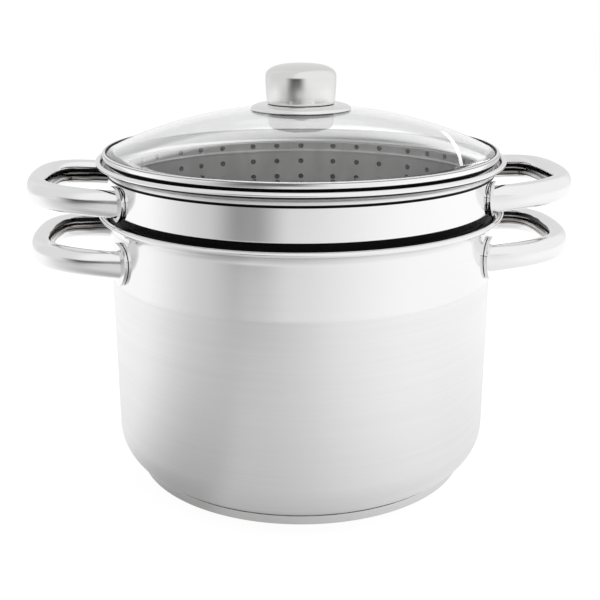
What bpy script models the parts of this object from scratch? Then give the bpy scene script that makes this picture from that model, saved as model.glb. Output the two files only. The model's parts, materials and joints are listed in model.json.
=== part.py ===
"""Pasta pot: a steel pot, a strainer insert that stands in its mouth, and a domed glass lid.

Every piece is one object. Heights are above the table, the vertical axis is the pot's own
axis, and the handles lie along X. The insert and the lid each hang on an empty on that axis,
along which they lift off.
"""

import math

import bmesh
import bpy
from mathutils import Matrix

MM = 0.001

# Clearance and facets
GAP = 0.3 * MM
ROUND_STEPS = 36
KNOB_STEPS = 20
FIXING_STEPS = 16
HOLE_SIDES = 5

# Pot body
BODY_RADIUS = 120.0 * MM
POT_HEIGHT = 169.4 * MM
POT_SHEET = 0.9 * MM
CORNER_RADIUS = 25.0 * MM
CORNER_FACETS = 4

# Flared mouth with its rolled lip, the same on pot and insert
COVE_RADIUS = 6.0 * MM
COVE_TURN = math.radians(75.0)
BEAD_RADIUS = 1.6 * MM
BEAD_RUN = 1.15 * MM

# Sandwich base
BASE_RADIUS = 107.0 * MM
BASE_SHEET = 0.6 * MM
BASE_EDGE_RADIUS = 1.4 * MM
CORE_THICKNESS = 2.2 * MM

# Insert
INSERT_SHEET = 0.8 * MM
BAND_HEIGHT = 26.7 * MM
BAND_CORNER = 2.5 * MM
BASKET_STEP = 5.6 * MM
BASKET_SHEET = 0.7 * MM
BASKET_DEPTH = 118.0 * MM
BASKET_CORNER = 18.0 * MM
LEDGE_RISE = 2.0 * MM

# Drain holes: groups of columns round the wall, rings in the floor
HOLE_RADIUS = 1.65 * MM
HOLE_GROUPS = 12
GROUP_COLUMNS = 3
COLUMN_ANGLE = math.radians(9.0)
GROUP_PHASE = math.radians(5.0)
FIRST_ROW_DROP = 3.1 * MM
ROW_PITCH = 11.66 * MM
LAST_ROW_RISE = 12.0 * MM
FLOOR_RINGS = 2
FLOOR_RING_PITCH = 34.0 * MM
FLOOR_RING_HOLES = 6

# Handles and their brackets
HANDLE_REACH = 169.0 * MM
HANDLE_SPREAD = 50.0 * MM
HANDLE_SQUARENESS = 3.0
HANDLE_TILT = math.radians(5.5)
HANDLE_STATIONS = 13
TUBE_HEIGHT = 15.5 * MM
TUBE_WIDTH = 12.5 * MM
TUBE_END_WIDTH = 9.0 * MM
TUBE_SIDES = 10
BRACKET_SHEET = 2.0 * MM
BRACKET_WIDTH = 23.0 * MM
BRACKET_COLUMNS = 4
POT_HANDLE_DROP = 25.2 * MM
POT_BRACKET_RISE = 13.0 * MM
POT_BRACKET_FALL = 13.0 * MM
INSERT_HANDLE_DROP = 20.3 * MM
INSERT_BRACKET_RISE = 10.4 * MM
INSERT_BRACKET_FALL = 10.8 * MM

# Lid ring and glass
SKIRT_OUTSET = 0.2 * MM
RING_STEP = 2.1 * MM
RING_LIFT = 0.75 * MM
RING_HEIGHT = 3.8 * MM
RING_SHEET = 0.5 * MM
RING_LAP = 2.4 * MM
DOME_RISE = 25.0 * MM
DOME_POWER = 2.2
DOME_FACETS = 4
GLASS_THICKNESS = 3.2 * MM
GLASS_HOLE_RADIUS = 4.2 * MM
GLASS_LAND = 2.6 * MM

# Knob, from the glass upwards and downwards
GASKET_RADIUS = 15.0 * MM
GASKET_THICKNESS = 1.0 * MM
FLANGE_RADIUS = 31.2 * MM
FLANGE_SHEET = 0.8 * MM
KNOB_BASE_RADIUS = 19.8 * MM
KNOB_RADIUS = 21.8 * MM
KNOB_SIDE_HEIGHT = 15.5 * MM
KNOB_DOME_HEIGHT = 8.4 * MM
KNOB_SQUARENESS = 2.5
KNOB_SHEET = 0.8 * MM
WASHER_RADIUS = 20.0 * MM
WASHER_THICKNESS = 1.5 * MM
SCREW_RADIUS = 2.4 * MM
SCREW_HEAD_RADIUS = 4.8 * MM
SCREW_HEAD_HEIGHT = 2.6 * MM
SCREW_GRIP = 12.0 * MM

# Heights that follow from the sizes above
BEAD_CENTRE_X = (COVE_RADIUS * (1 - math.cos(COVE_TURN)) - BEAD_RADIUS * math.cos(COVE_TURN)
                 + BEAD_RUN * math.sin(COVE_TURN))
BEAD_CENTRE_Z = (COVE_RADIUS * math.sin(COVE_TURN) + BEAD_RADIUS * math.sin(COVE_TURN)
                 + BEAD_RUN * math.cos(COVE_TURN))
MOUTH_HEIGHT = BEAD_CENTRE_Z + BEAD_RADIUS
POT_UNDERSIDE = BASE_SHEET + GAP + CORE_THICKNESS + GAP
POT_BODY_LINE = POT_HEIGHT - MOUTH_HEIGHT
SEAT_REACH = COVE_RADIUS + POT_SHEET + GAP + BAND_CORNER
BAND_BOTTOM = POT_BODY_LINE + math.sqrt(SEAT_REACH ** 2 - (COVE_RADIUS + BAND_CORNER) ** 2)
INSERT_BODY_LINE = BAND_BOTTOM + BAND_HEIGHT
INSERT_HEIGHT = INSERT_BODY_LINE + MOUTH_HEIGHT
BASKET_RADIUS = BODY_RADIUS - BASKET_STEP
BASKET_UNDERSIDE = INSERT_HEIGHT - BASKET_DEPTH
LEDGE_TOP = INSERT_BODY_LINE + LEDGE_RISE
SKIRT_RADIUS = BODY_RADIUS + SKIRT_OUTSET
RING_RADIUS = SKIRT_RADIUS + RING_STEP
RING_BOTTOM = INSERT_HEIGHT + RING_LIFT
RING_TOP = RING_BOTTOM + RING_HEIGHT
RING_BORE = RING_RADIUS - RING_LAP
GLASS_EDGE_RADIUS = RING_RADIUS - RING_SHEET - GAP
GLASS_EDGE_TOP = RING_TOP - RING_SHEET - GAP
GLASS_EDGE_BOTTOM = RING_BOTTOM + RING_SHEET + GAP
DOME_RADIUS = RING_BORE - GAP
DOME_TOP = GLASS_EDGE_TOP + DOME_RISE
SCREW_BORE = SCREW_RADIUS + GAP
FLANGE_HUB_UNDERSIDE = DOME_TOP + GAP + GASKET_THICKNESS + GAP
KNOB_BOTTOM = FLANGE_HUB_UNDERSIDE + FLANGE_SHEET + GAP

# Finishes: base colour, metallic, roughness, transmission
FINISHES = {
    "mirror_steel": ((0.80, 0.80, 0.80), 1.0, 0.08, 0.0),
    "brushed_steel": ((0.66, 0.66, 0.65), 1.0, 0.30, 0.0),
    "satin_steel": ((0.72, 0.71, 0.70), 1.0, 0.22, 0.0),
    "aluminium": ((0.75, 0.76, 0.77), 1.0, 0.35, 0.0),
    "glass": ((0.93, 0.96, 0.95), 0.0, 0.02, 0.9),
    "silicone": ((0.80, 0.80, 0.78), 0.0, 0.55, 0.0),
    "black_plastic": ((0.03, 0.03, 0.03), 0.0, 0.45, 0.0),
}


def clear_scene():
    """Remove every object, so that only the pot is left in the file."""
    for stale in list(bpy.data.objects):
        bpy.data.objects.remove(stale, do_unlink=True)


def new_collection(name):
    """Return a new collection linked to the scene."""
    collection = bpy.data.collections.new(name)
    bpy.context.scene.collection.children.link(collection)
    return collection


def finish_material(piece_name, finish):
    """Return a piece's own material, with one of the finishes."""
    colour, metallic, roughness, transmission = FINISHES[finish]
    material = bpy.data.materials.new(piece_name + "_" + finish)
    material.use_nodes = True
    shader = material.node_tree.nodes["Principled BSDF"]
    shader.inputs["Base Color"].default_value = (*colour, 1.0)
    shader.inputs["Metallic"].default_value = metallic
    shader.inputs["Roughness"].default_value = roughness
    shader.inputs["Transmission Weight"].default_value = transmission
    material.diffuse_color = (*colour, 1.0 - 0.6 * transmission)
    return material


def arc(centre, radius, start, end, segments):
    """Return points along an arc in the (radius, height) plane, both ends included."""
    angles = [start + (end - start) * i / segments for i in range(segments + 1)]
    return [(centre[0] + radius * math.cos(a), centre[1] + radius * math.sin(a)) for a in angles]


def corner_line():
    """Facets of the pot's rounded bottom corner, moved out by the clearance."""
    centre = (BODY_RADIUS - CORNER_RADIUS, POT_UNDERSIDE + CORNER_RADIUS)
    reach = CORNER_RADIUS + GAP / math.cos(math.pi / 4 / CORNER_FACETS)
    return arc(centre, reach, -math.pi / 2, 0.0, CORNER_FACETS)


def cove_radius_at(rise, extra):
    """Distance from the axis of the inside of the insert's cove, less a clearance, at a rise."""
    reach = COVE_RADIUS + INSERT_SHEET + extra
    return BODY_RADIUS + COVE_RADIUS - math.sqrt(reach ** 2 - rise ** 2)


def dome_outline(edge_radius, edge_height, rise):
    """One face of the glass dome, from the centre hole out to its edge."""
    shares = [GLASS_HOLE_RADIUS / edge_radius] + [i / DOME_FACETS for i in range(1, DOME_FACETS + 1)]
    shares = [shares[0]] + [share ** 0.8 for share in shares[1:]]
    return [(edge_radius * s, edge_height + rise * (1 - s ** DOME_POWER)) for s in shares]


def glass_top():
    """Upper face of the dome."""
    return dome_outline(DOME_RADIUS, GLASS_EDGE_TOP, DOME_RISE)


def glass_underside():
    """Lower face of the dome."""
    rise = DOME_TOP - GLASS_THICKNESS - GLASS_EDGE_BOTTOM
    return dome_outline(DOME_RADIUS - GLASS_LAND, GLASS_EDGE_BOTTOM, rise)


def height_at(outline, radius):
    """Height of a faceted outline at a distance from the axis."""
    for (near, near_height), (far, far_height) in zip(outline, outline[1:]):
        if near <= radius <= far:
            return near_height + (far_height - near_height) * (radius - near) / (far - near)
    return outline[0][1]


def mouth_outline(body_line, sheet):
    """Flared mouth with a rolled lip: up the inside, over the lip and down the outside."""
    cove = (BODY_RADIUS + COVE_RADIUS, body_line)
    bead = (BODY_RADIUS + BEAD_CENTRE_X, body_line + BEAD_CENTRE_Z)
    inner_reach = COVE_RADIUS + sheet
    spacing = math.dist(cove, bead)
    toward_bead = math.atan2(bead[1] - cove[1], bead[0] - cove[0])
    opening = math.acos((spacing ** 2 + inner_reach ** 2 - BEAD_RADIUS ** 2)
                        / (2 * spacing * inner_reach))
    inside = arc(cove, inner_reach, math.pi, toward_bead + opening, 2)
    lip_start = math.atan2(inside[-1][1] - bead[1], inside[-1][0] - bead[0]) % (2 * math.pi)
    lip = arc(bead, BEAD_RADIUS, lip_start, -COVE_TURN, 4)
    outside = arc(cove, COVE_RADIUS, math.pi - COVE_TURN, math.pi, 2)
    return inside + lip[1:] + outside


def add_object(name, mesh, finish, parent, collection):
    """Put a mesh in the scene as one named piece with its own finish."""
    piece = bpy.data.objects.new(name, mesh)
    collection.objects.link(piece)
    piece.parent = parent
    mesh.materials.append(finish_material(name, finish))
    return piece


def turned(name, outline, finish, parent, collection, ring=False, steps=ROUND_STEPS):
    """Turn a (radius, height) outline about the axis; a ring's outline closes on itself."""
    mesh = bpy.data.meshes.new(name)
    edges = [(i, i + 1) for i in range(len(outline) - 1)]
    if ring:
        edges.append((len(outline) - 1, 0))
    mesh.from_pydata([(radius, 0.0, height) for radius, height in outline], edges, [])
    piece = add_object(name, mesh, finish, parent, collection)
    turn = piece.modifiers.new("turn", "SCREW")
    turn.angle = 2 * math.pi
    turn.steps = steps
    turn.render_steps = steps
    turn.use_merge_vertices = True
    turn.merge_threshold = 0.00001
    turn.use_smooth_shade = True
    return piece


def pot_shell(parent, collection):
    """Drawn body: flat floor, rounded corner, straight wall and flared mouth."""
    corner = (BODY_RADIUS - CORNER_RADIUS, POT_UNDERSIDE + CORNER_RADIUS)
    down, level = -math.pi / 2, 0.0
    outline = [(0.0, POT_UNDERSIDE + POT_SHEET)]
    outline += arc(corner, CORNER_RADIUS - POT_SHEET, down, level, 3)
    outline += mouth_outline(POT_BODY_LINE, POT_SHEET)
    outline += arc(corner, CORNER_RADIUS, level, down, CORNER_FACETS)
    outline += [(0.0, POT_UNDERSIDE)]
    return turned("pot_shell", outline, "brushed_steel", parent, collection)


def base_core(parent, collection):
    """Aluminium disc that fills the dish under the pot's floor and follows its corner."""
    reach = BASE_RADIUS - BASE_SHEET - GAP
    outline = [(0.0, corner_line()[0][1])]
    outline += [point for point in corner_line() if point[0] < reach]
    outline += [(reach, height_at(corner_line(), reach)),
                (reach, BASE_SHEET + GAP + BASE_EDGE_RADIUS),
                (reach - BASE_EDGE_RADIUS, BASE_SHEET + GAP),
                (0.0, BASE_SHEET + GAP)]
    return turned("base_core", outline, "aluminium", parent, collection)


def base_cap(parent, collection):
    """Steel dish that closes the base and stands on the hob."""
    bore = BASE_RADIUS - BASE_SHEET
    top = height_at(corner_line(), bore)
    outline = [(0.0, BASE_SHEET),
               (bore - BASE_EDGE_RADIUS, BASE_SHEET),
               (bore, BASE_SHEET + BASE_EDGE_RADIUS),
               (bore, top),
               (BASE_RADIUS, top)]
    outline += arc((BASE_RADIUS - BASE_EDGE_RADIUS, BASE_EDGE_RADIUS), BASE_EDGE_RADIUS,
                   0.0, -math.pi / 2, 2)
    outline += [(0.0, 0.0)]
    return turned("base_cap", outline, "satin_steel", parent, collection)


def insert_collar(parent, collection):
    """Plain band with the flared mouth, turned in at the foot to the strainer's wall."""
    corner = (BODY_RADIUS - BAND_CORNER, BAND_BOTTOM)
    inner_edge = BASKET_RADIUS + GAP
    foot = BAND_BOTTOM - BAND_CORNER
    outline = mouth_outline(INSERT_BODY_LINE, INSERT_SHEET)
    outline += arc(corner, BAND_CORNER, 0.0, -math.pi / 2, 2)
    outline += [(inner_edge, foot), (inner_edge, foot + INSERT_SHEET)]
    outline += arc(corner, BAND_CORNER - INSERT_SHEET, -math.pi / 2, 0.0, 1)
    return turned("insert_collar", outline, "mirror_steel", parent, collection, ring=True)


def hole_cutter(mesh_builder, place):
    """Add one drain hole's prism, centred on a place and along its local Z."""
    bmesh.ops.create_cone(mesh_builder, cap_ends=True, segments=HOLE_SIDES, radius1=HOLE_RADIUS,
                          radius2=HOLE_RADIUS, depth=8 * BASKET_SHEET, matrix=place)


def wall_hole_rows():
    """Heights of the rows of wall holes, from the top row to the last above the corner."""
    first = LEDGE_TOP - FIRST_ROW_DROP
    last = BASKET_UNDERSIDE + BASKET_CORNER + LAST_ROW_RISE
    count = int((first - last) / ROW_PITCH) + 1
    return [first - ROW_PITCH * row for row in range(count)]


def wall_hole_angles():
    """Directions of the columns of wall holes, in groups evenly spaced round the wall."""
    spread = [(i - (GROUP_COLUMNS - 1) / 2) * COLUMN_ANGLE for i in range(GROUP_COLUMNS)]
    centres = [GROUP_PHASE + 2 * math.pi * g / HOLE_GROUPS for g in range(HOLE_GROUPS)]
    return [centre + offset for centre in centres for offset in spread]


def drain_hole_cutters(collection):
    """Return one object that holds the prisms of all drain holes in wall and floor."""
    builder = bmesh.new()
    mid_wall = BASKET_RADIUS * math.cos(math.pi / ROUND_STEPS) - BASKET_SHEET / 2
    lying = Matrix.Rotation(math.pi / 2, 4, "Y")
    for angle in wall_hole_angles():
        heading = Matrix.Rotation(angle, 4, "Z")
        for height in wall_hole_rows():
            place = heading @ Matrix.Translation((mid_wall, 0.0, height)) @ lying
            hole_cutter(builder, place)
    mid_floor = BASKET_UNDERSIDE + BASKET_SHEET / 2
    half_wedge = math.pi / ROUND_STEPS
    for ring in range(1, FLOOR_RINGS + 1):
        holes = FLOOR_RING_HOLES * ring
        for i in range(holes):
            heading = Matrix.Rotation(2 * math.pi * i / holes + half_wedge, 4, "Z")
            hole_cutter(builder, heading @ Matrix.Translation((ring * FLOOR_RING_PITCH, 0.0, mid_floor)))
    mesh = bpy.data.meshes.new("drain_holes")
    builder.to_mesh(mesh)
    builder.free()
    cutter = bpy.data.objects.new("drain_holes", mesh)
    collection.objects.link(cutter)
    cutter.hide_render = True
    cutter.display_type = "WIRE"
    return cutter


def strainer_basket(parent, collection, cutters):
    """Thin strainer that hangs by its ledge inside the collar, with its drain holes cut."""
    corner = (BASKET_RADIUS - BASKET_CORNER, BASKET_UNDERSIDE + BASKET_CORNER)
    ledge_underside = LEDGE_TOP - BASKET_SHEET
    ledge_radius = cove_radius_at(ledge_underside - INSERT_BODY_LINE, GAP)
    down, level = -math.pi / 2, 0.0
    outline = [(0.0, BASKET_UNDERSIDE + BASKET_SHEET)]
    outline += arc(corner, BASKET_CORNER - BASKET_SHEET, down, level, 2)
    outline += [(BASKET_RADIUS - BASKET_SHEET, LEDGE_TOP),
                (ledge_radius, LEDGE_TOP),
                (ledge_radius, ledge_underside),
                (BASKET_RADIUS, ledge_underside)]
    outline += arc(corner, BASKET_CORNER, level, down, 2)
    outline += [(0.0, BASKET_UNDERSIDE)]
    piece = turned("strainer_basket", outline, "brushed_steel", parent, collection)
    drill = piece.modifiers.new("drain_holes", "BOOLEAN")
    drill.operation = "DIFFERENCE"
    drill.solver = "EXACT"
    drill.object = drain_hole_cutters(cutters)
    tidy = piece.modifiers.new("flat_faces", "DECIMATE")
    tidy.decimate_type = "DISSOLVE"
    tidy.angle_limit = math.radians(0.5)
    return piece


def handle_path():
    """Stations along a handle's centre line, evenly spaced, as (out from axis, across)."""
    seat = BODY_RADIUS + GAP + BRACKET_SHEET + GAP
    start = math.sqrt(seat ** 2 - HANDLE_SPREAD ** 2)
    reach = HANDLE_REACH - TUBE_WIDTH / 2 - start
    power = 2 / HANDLE_SQUARENESS
    fine = []
    for i in range(201):
        turn = math.pi * i / 200
        across = math.copysign(abs(math.cos(turn)) ** power, math.cos(turn)) * HANDLE_SPREAD
        fine.append((start + reach * math.sin(turn) ** power, across))
    lengths = [0.0]
    for before, after in zip(fine, fine[1:]):
        lengths.append(lengths[-1] + math.dist(before, after))
    stations = []
    for k in range(HANDLE_STATIONS):
        target = lengths[-1] * k / (HANDLE_STATIONS - 1)
        i = max(j for j in range(200) if lengths[j] <= target)
        share = (target - lengths[i]) / (lengths[i + 1] - lengths[i])
        stations.append(tuple(a + share * (b - a) for a, b in zip(fine[i], fine[i + 1])))
    return stations, seat, start


def handle_mesh(name):
    """Loft the tube: a tall oval in the middle, flattened sideways towards both ends."""
    stations, seat, start = handle_path()
    builder = bmesh.new()
    rings = []
    for k, (out, across) in enumerate(stations):
        before = stations[max(k - 1, 0)]
        after = stations[min(k + 1, HANDLE_STATIONS - 1)]
        along_out, along_across = after[0] - before[0], after[1] - before[1]
        if k in (0, HANDLE_STATIONS - 1):
            along_out, along_across = (1.0, 0.0) if k == 0 else (-1.0, 0.0)
        length = math.hypot(along_out, along_across)
        side = (-along_across / length, along_out / length)
        middle = 1 - abs(2 * k / (HANDLE_STATIONS - 1) - 1)
        fullness = min(1.0, 3 * middle)
        half_width = (TUBE_END_WIDTH + (TUBE_WIDTH - TUBE_END_WIDTH) * fullness) / 2
        ring = []
        for j in range(TUBE_SIDES):
            around = 2 * math.pi * (j + 0.5) / TUBE_SIDES
            offset = half_width * math.cos(around)
            x, y = out + side[0] * offset, across + side[1] * offset
            if k in (0, HANDLE_STATIONS - 1):
                x = math.sqrt(seat ** 2 - y ** 2)
            z = (x - start) * math.tan(HANDLE_TILT) + TUBE_HEIGHT / 2 * math.sin(around)
            ring.append(builder.verts.new((x, y, z)))
        rings.append(ring)
    for ring, following in zip(rings, rings[1:]):
        for j in range(TUBE_SIDES):
            other = (j + 1) % TUBE_SIDES
            builder.faces.new((ring[j], ring[other], following[other], following[j]))
    builder.faces.new(reversed(rings[0]))
    builder.faces.new(rings[-1])
    bmesh.ops.recalc_face_normals(builder, faces=builder.faces)
    mesh = bpy.data.meshes.new(name)
    builder.to_mesh(mesh)
    builder.free()
    mesh.shade_smooth()
    mesh.set_sharp_from_angle(angle=math.radians(50))
    return mesh


def bracket_mesh(name, rise, fall):
    """Shield-shaped plate bent to the wall, open surface on its inner side."""
    builder = bmesh.new()
    bmesh.ops.create_grid(builder, x_segments=BRACKET_COLUMNS, y_segments=1, size=1.0)
    radius = BODY_RADIUS + GAP
    for vertex in builder.verts:
        share = vertex.co.x
        if vertex.co.y > 0:
            height = rise * (1 - 0.35 * share ** 2)
        else:
            height = -fall * (1 - 0.7 * abs(share) ** 1.6)
        angle = share * BRACKET_WIDTH / 2 / radius
        vertex.co = (radius * math.cos(angle), radius * math.sin(angle), height)
    mesh = bpy.data.meshes.new(name)
    builder.to_mesh(mesh)
    builder.free()
    return mesh


def handle_set(prefix, height, rise, fall, parent, collection):
    """Two handles with a bracket at each of their four ends."""
    seat = BODY_RADIUS + GAP + BRACKET_SHEET + GAP
    bracket_angle = math.asin(HANDLE_SPREAD / seat)
    for side, heading in (("right", 0.0), ("left", math.pi)):
        name = prefix + "_handle_" + side
        tube = add_object(name, handle_mesh(name), "mirror_steel", parent, collection)
        tube.location.z = height
        tube.rotation_euler.z = heading
        for end, turn in (("front", -bracket_angle), ("rear", bracket_angle)):
            name = prefix + "_bracket_" + side + "_" + end
            plate = add_object(name, bracket_mesh(name, rise, fall), "mirror_steel", parent, collection)
            plate.location.z = height
            plate.rotation_euler.z = heading + (turn if side == "right" else -turn)
            sheet = plate.modifiers.new("sheet", "SOLIDIFY")
            sheet.thickness = BRACKET_SHEET
            sheet.offset = 1.0


def lid_glass(parent, collection):
    """Domed glass with a flat ground edge and a centre hole."""
    outline = glass_top()
    outline += [(GLASS_EDGE_RADIUS, GLASS_EDGE_TOP), (GLASS_EDGE_RADIUS, GLASS_EDGE_BOTTOM)]
    outline += list(reversed(glass_underside()))
    return turned("lid_glass", outline, "glass", parent, collection, ring=True)


def lid_ring(parent, collection):
    """Folded steel ring that laps over the glass edge, with a skirt down into the mouth."""
    skirt_inner = SKIRT_RADIUS - RING_SHEET
    skirt_reach = COVE_RADIUS + INSERT_SHEET + GAP
    skirt_bottom = INSERT_BODY_LINE + math.sqrt(skirt_reach ** 2 - (COVE_RADIUS - SKIRT_OUTSET) ** 2)
    groove = RING_RADIUS - RING_SHEET
    edge = RING_SHEET
    outline = [(RING_BORE, RING_TOP),
               (RING_RADIUS - edge, RING_TOP),
               (RING_RADIUS, RING_TOP - edge),
               (RING_RADIUS, RING_BOTTOM),
               (SKIRT_RADIUS, RING_BOTTOM),
               (SKIRT_RADIUS, skirt_bottom),
               (skirt_inner, skirt_bottom),
               (skirt_inner, RING_BOTTOM + RING_SHEET),
               (groove, RING_BOTTOM + RING_SHEET),
               (groove, RING_TOP - RING_SHEET),
               (RING_BORE, RING_TOP - RING_SHEET)]
    return turned("lid_ring", outline, "mirror_steel", parent, collection, ring=True)


def knob_outline(inset):
    """Knob's side and dome from the top centre down, drawn in by a wall or a clearance."""
    side_top = KNOB_BOTTOM + KNOB_SIDE_HEIGHT
    power = 2 / KNOB_SQUARENESS
    points = [(0.0, side_top + KNOB_DOME_HEIGHT - inset)]
    for turn in (72, 50, 24):
        a = math.radians(turn)
        points.append(((KNOB_RADIUS - inset) * math.cos(a) ** power,
                       side_top + (KNOB_DOME_HEIGHT - inset) * math.sin(a) ** power))
    for share in (1.0, 0.5, 0.0):
        bulge = (KNOB_RADIUS - KNOB_BASE_RADIUS) * math.sin(math.pi / 2 * share)
        points.append((KNOB_BASE_RADIUS + bulge - inset, KNOB_BOTTOM + KNOB_SIDE_HEIGHT * share))
    return points


def knob_cap(parent, collection):
    """Thin steel cup, open below."""
    outline = knob_outline(0.0) + list(reversed(knob_outline(KNOB_SHEET)))
    return turned("knob_cap", outline, "satin_steel", parent, collection, steps=KNOB_STEPS)


def knob_core(parent, collection):
    """Moulded plug inside the cap, with the blind bore that takes the screw."""
    bore_top = KNOB_BOTTOM + SCREW_GRIP + 2 * GAP
    outline = knob_outline(KNOB_SHEET + GAP)
    outline += [(SCREW_BORE, KNOB_BOTTOM), (SCREW_BORE, bore_top), (0.0, bore_top)]
    return turned("knob_core", outline, "black_plastic", parent, collection, steps=KNOB_STEPS)


def knob_flange(parent, collection):
    """Spun saucer between knob and glass, its rim just clear of the dome."""
    rim_inner = FLANGE_RADIUS - FLANGE_SHEET
    rim_bottom = height_at(glass_top(), rim_inner) + GAP
    hub_top = FLANGE_HUB_UNDERSIDE + FLANGE_SHEET
    slope = [(share, (1 + math.cos(math.pi * share)) / 2) for share in (0.0, 0.35, 0.7)]
    run = rim_inner - KNOB_BASE_RADIUS
    fall = FLANGE_HUB_UNDERSIDE - rim_bottom
    top = [(KNOB_BASE_RADIUS + run * s, rim_bottom + FLANGE_SHEET + fall * h) for s, h in slope]
    under = [(KNOB_BASE_RADIUS + run * s, rim_bottom + fall * h) for s, h in slope]
    outline = [(SCREW_BORE, hub_top)] + top
    outline += [(rim_inner, rim_bottom + 1.3 * FLANGE_SHEET),
                (FLANGE_RADIUS, rim_bottom + 0.7 * FLANGE_SHEET),
                (rim_inner, rim_bottom)]
    outline += list(reversed(under)) + [(SCREW_BORE, FLANGE_HUB_UNDERSIDE)]
    return turned("knob_flange", outline, "mirror_steel", parent, collection, ring=True,
                  steps=KNOB_STEPS)


def disc(name, radius, bore, top, thickness, finish, parent, collection):
    """Flat ring: a gasket or a washer."""
    outline = [(bore, top), (radius, top), (radius, top - thickness), (bore, top - thickness)]
    return turned(name, outline, finish, parent, collection, ring=True, steps=FIXING_STEPS)


def lid_fixings(parent, collection):
    """Gaskets on both sides of the glass, the washer below and the screw through them all."""
    disc("knob_gasket", GASKET_RADIUS, SCREW_BORE, DOME_TOP + GAP + GASKET_THICKNESS,
         GASKET_THICKNESS, "silicone", parent, collection)
    gasket_top = height_at(glass_underside(), GASKET_RADIUS) - GAP
    disc("lower_gasket", GASKET_RADIUS, SCREW_BORE, gasket_top, GASKET_THICKNESS, "silicone",
         parent, collection)
    washer_top = gasket_top - GASKET_THICKNESS - GAP
    disc("lid_washer", WASHER_RADIUS, SCREW_BORE, washer_top, WASHER_THICKNESS, "satin_steel",
         parent, collection)
    head_top = washer_top - WASHER_THICKNESS - GAP
    head_bottom = head_top - SCREW_HEAD_HEIGHT
    shaft_top = KNOB_BOTTOM + SCREW_GRIP
    outline = [(0.0, shaft_top),
               (SCREW_RADIUS, shaft_top),
               (SCREW_RADIUS, head_top),
               (SCREW_HEAD_RADIUS, head_top),
               (SCREW_HEAD_RADIUS, head_top - SCREW_HEAD_HEIGHT / 2),
               (SCREW_HEAD_RADIUS * 0.7, head_bottom),
               (0.0, head_bottom)]
    turned("lid_screw", outline, "satin_steel", parent, collection, steps=FIXING_STEPS)


def axis_empty(name, parent, collection):
    """Empty on the vertical axis, along which a body lifts off."""
    empty = bpy.data.objects.new(name, None)
    empty.empty_display_size = BODY_RADIUS / 2
    empty.parent = parent
    collection.objects.link(empty)
    return empty


def main():
    """Build the pot, the insert that stands in it, and the lid."""
    clear_scene()
    pieces = new_collection("pasta_pot")
    cutters = new_collection("cutters")
    pot_axis = axis_empty("pot_axis", None, pieces)
    insert_axis = axis_empty("insert_lift_axis", pot_axis, pieces)
    lid_axis = axis_empty("lid_lift_axis", insert_axis, pieces)

    pot_shell(pot_axis, pieces)
    base_core(pot_axis, pieces)
    base_cap(pot_axis, pieces)
    handle_set("pot", POT_HEIGHT - POT_HANDLE_DROP, POT_BRACKET_RISE, POT_BRACKET_FALL,
               pot_axis, pieces)

    insert_collar(insert_axis, pieces)
    strainer_basket(insert_axis, pieces, cutters)
    handle_set("insert", INSERT_HEIGHT - INSERT_HANDLE_DROP, INSERT_BRACKET_RISE,
               INSERT_BRACKET_FALL, insert_axis, pieces)

    lid_glass(lid_axis, pieces)
    lid_ring(lid_axis, pieces)
    knob_cap(lid_axis, pieces)
    knob_core(lid_axis, pieces)
    knob_flange(lid_axis, pieces)
    lid_fixings(lid_axis, pieces)


main()
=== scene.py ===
"""Dressed pasta pot: turned steel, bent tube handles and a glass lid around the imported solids.

Lengths are in metres. The vertical axis is the pot's own axis, the handles lie along X, and
the photograph looks from the -Y side. The class of each sub-assembly builds its pieces in
the places of their CAD nodes and gives them their finishes, and Studio sets up the rest.
"""

import json
import logging
import math
from collections.abc import Callable
from dataclasses import dataclass, field
from enum import Enum

import bmesh
import bpy
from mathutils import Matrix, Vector

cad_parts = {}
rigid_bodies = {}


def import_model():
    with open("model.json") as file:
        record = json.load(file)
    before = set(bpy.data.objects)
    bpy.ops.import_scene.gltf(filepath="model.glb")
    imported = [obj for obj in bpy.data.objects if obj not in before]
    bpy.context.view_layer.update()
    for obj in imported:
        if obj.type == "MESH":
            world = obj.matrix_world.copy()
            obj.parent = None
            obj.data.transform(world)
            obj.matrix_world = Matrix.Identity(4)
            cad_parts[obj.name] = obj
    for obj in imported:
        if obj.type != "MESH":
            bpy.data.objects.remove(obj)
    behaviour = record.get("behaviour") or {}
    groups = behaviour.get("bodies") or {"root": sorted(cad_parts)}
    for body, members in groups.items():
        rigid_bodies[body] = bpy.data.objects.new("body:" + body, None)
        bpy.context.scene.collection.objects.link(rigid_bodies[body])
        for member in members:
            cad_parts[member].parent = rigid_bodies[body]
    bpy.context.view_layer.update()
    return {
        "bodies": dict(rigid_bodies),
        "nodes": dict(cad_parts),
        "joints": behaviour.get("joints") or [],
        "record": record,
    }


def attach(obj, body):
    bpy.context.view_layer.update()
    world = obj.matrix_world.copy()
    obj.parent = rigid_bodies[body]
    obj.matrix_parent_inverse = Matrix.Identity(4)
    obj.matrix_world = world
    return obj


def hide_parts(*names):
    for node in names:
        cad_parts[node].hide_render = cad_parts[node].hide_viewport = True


MM = 0.001
TURN = 2 * math.pi
ORIGIN = (0.0, 0.0, 0.0)
UPRIGHT = (0.0, 0.0, 1.0)
BLACK = (0.0, 0.0, 0.0)
# Points nearer to each other than this are merged.
MERGE_DISTANCE = 0.002 * MM
# A straight run longer than this gets a point at the second distance from each of its ends.
LONG_RUN = 8 * MM
HOLD = 0.3 * MM
# A rounded corner takes up at most this share of each of its sides.
CUT_SHARE = 0.45
# Turn of the brushed highlight, as a share of a full turn, for lines that run round the axis.
ROUND_THE_AXIS = 0.25

Span = tuple[float, float]
Outline = list[tuple[float, float]]
Colour = tuple[float, float, float]
Place = tuple[float, float, float]


class Body(Enum):
    """The bodies that move on their own."""

    POT = "pot"
    INSERT = "insert"
    LID = "lid"


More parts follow.
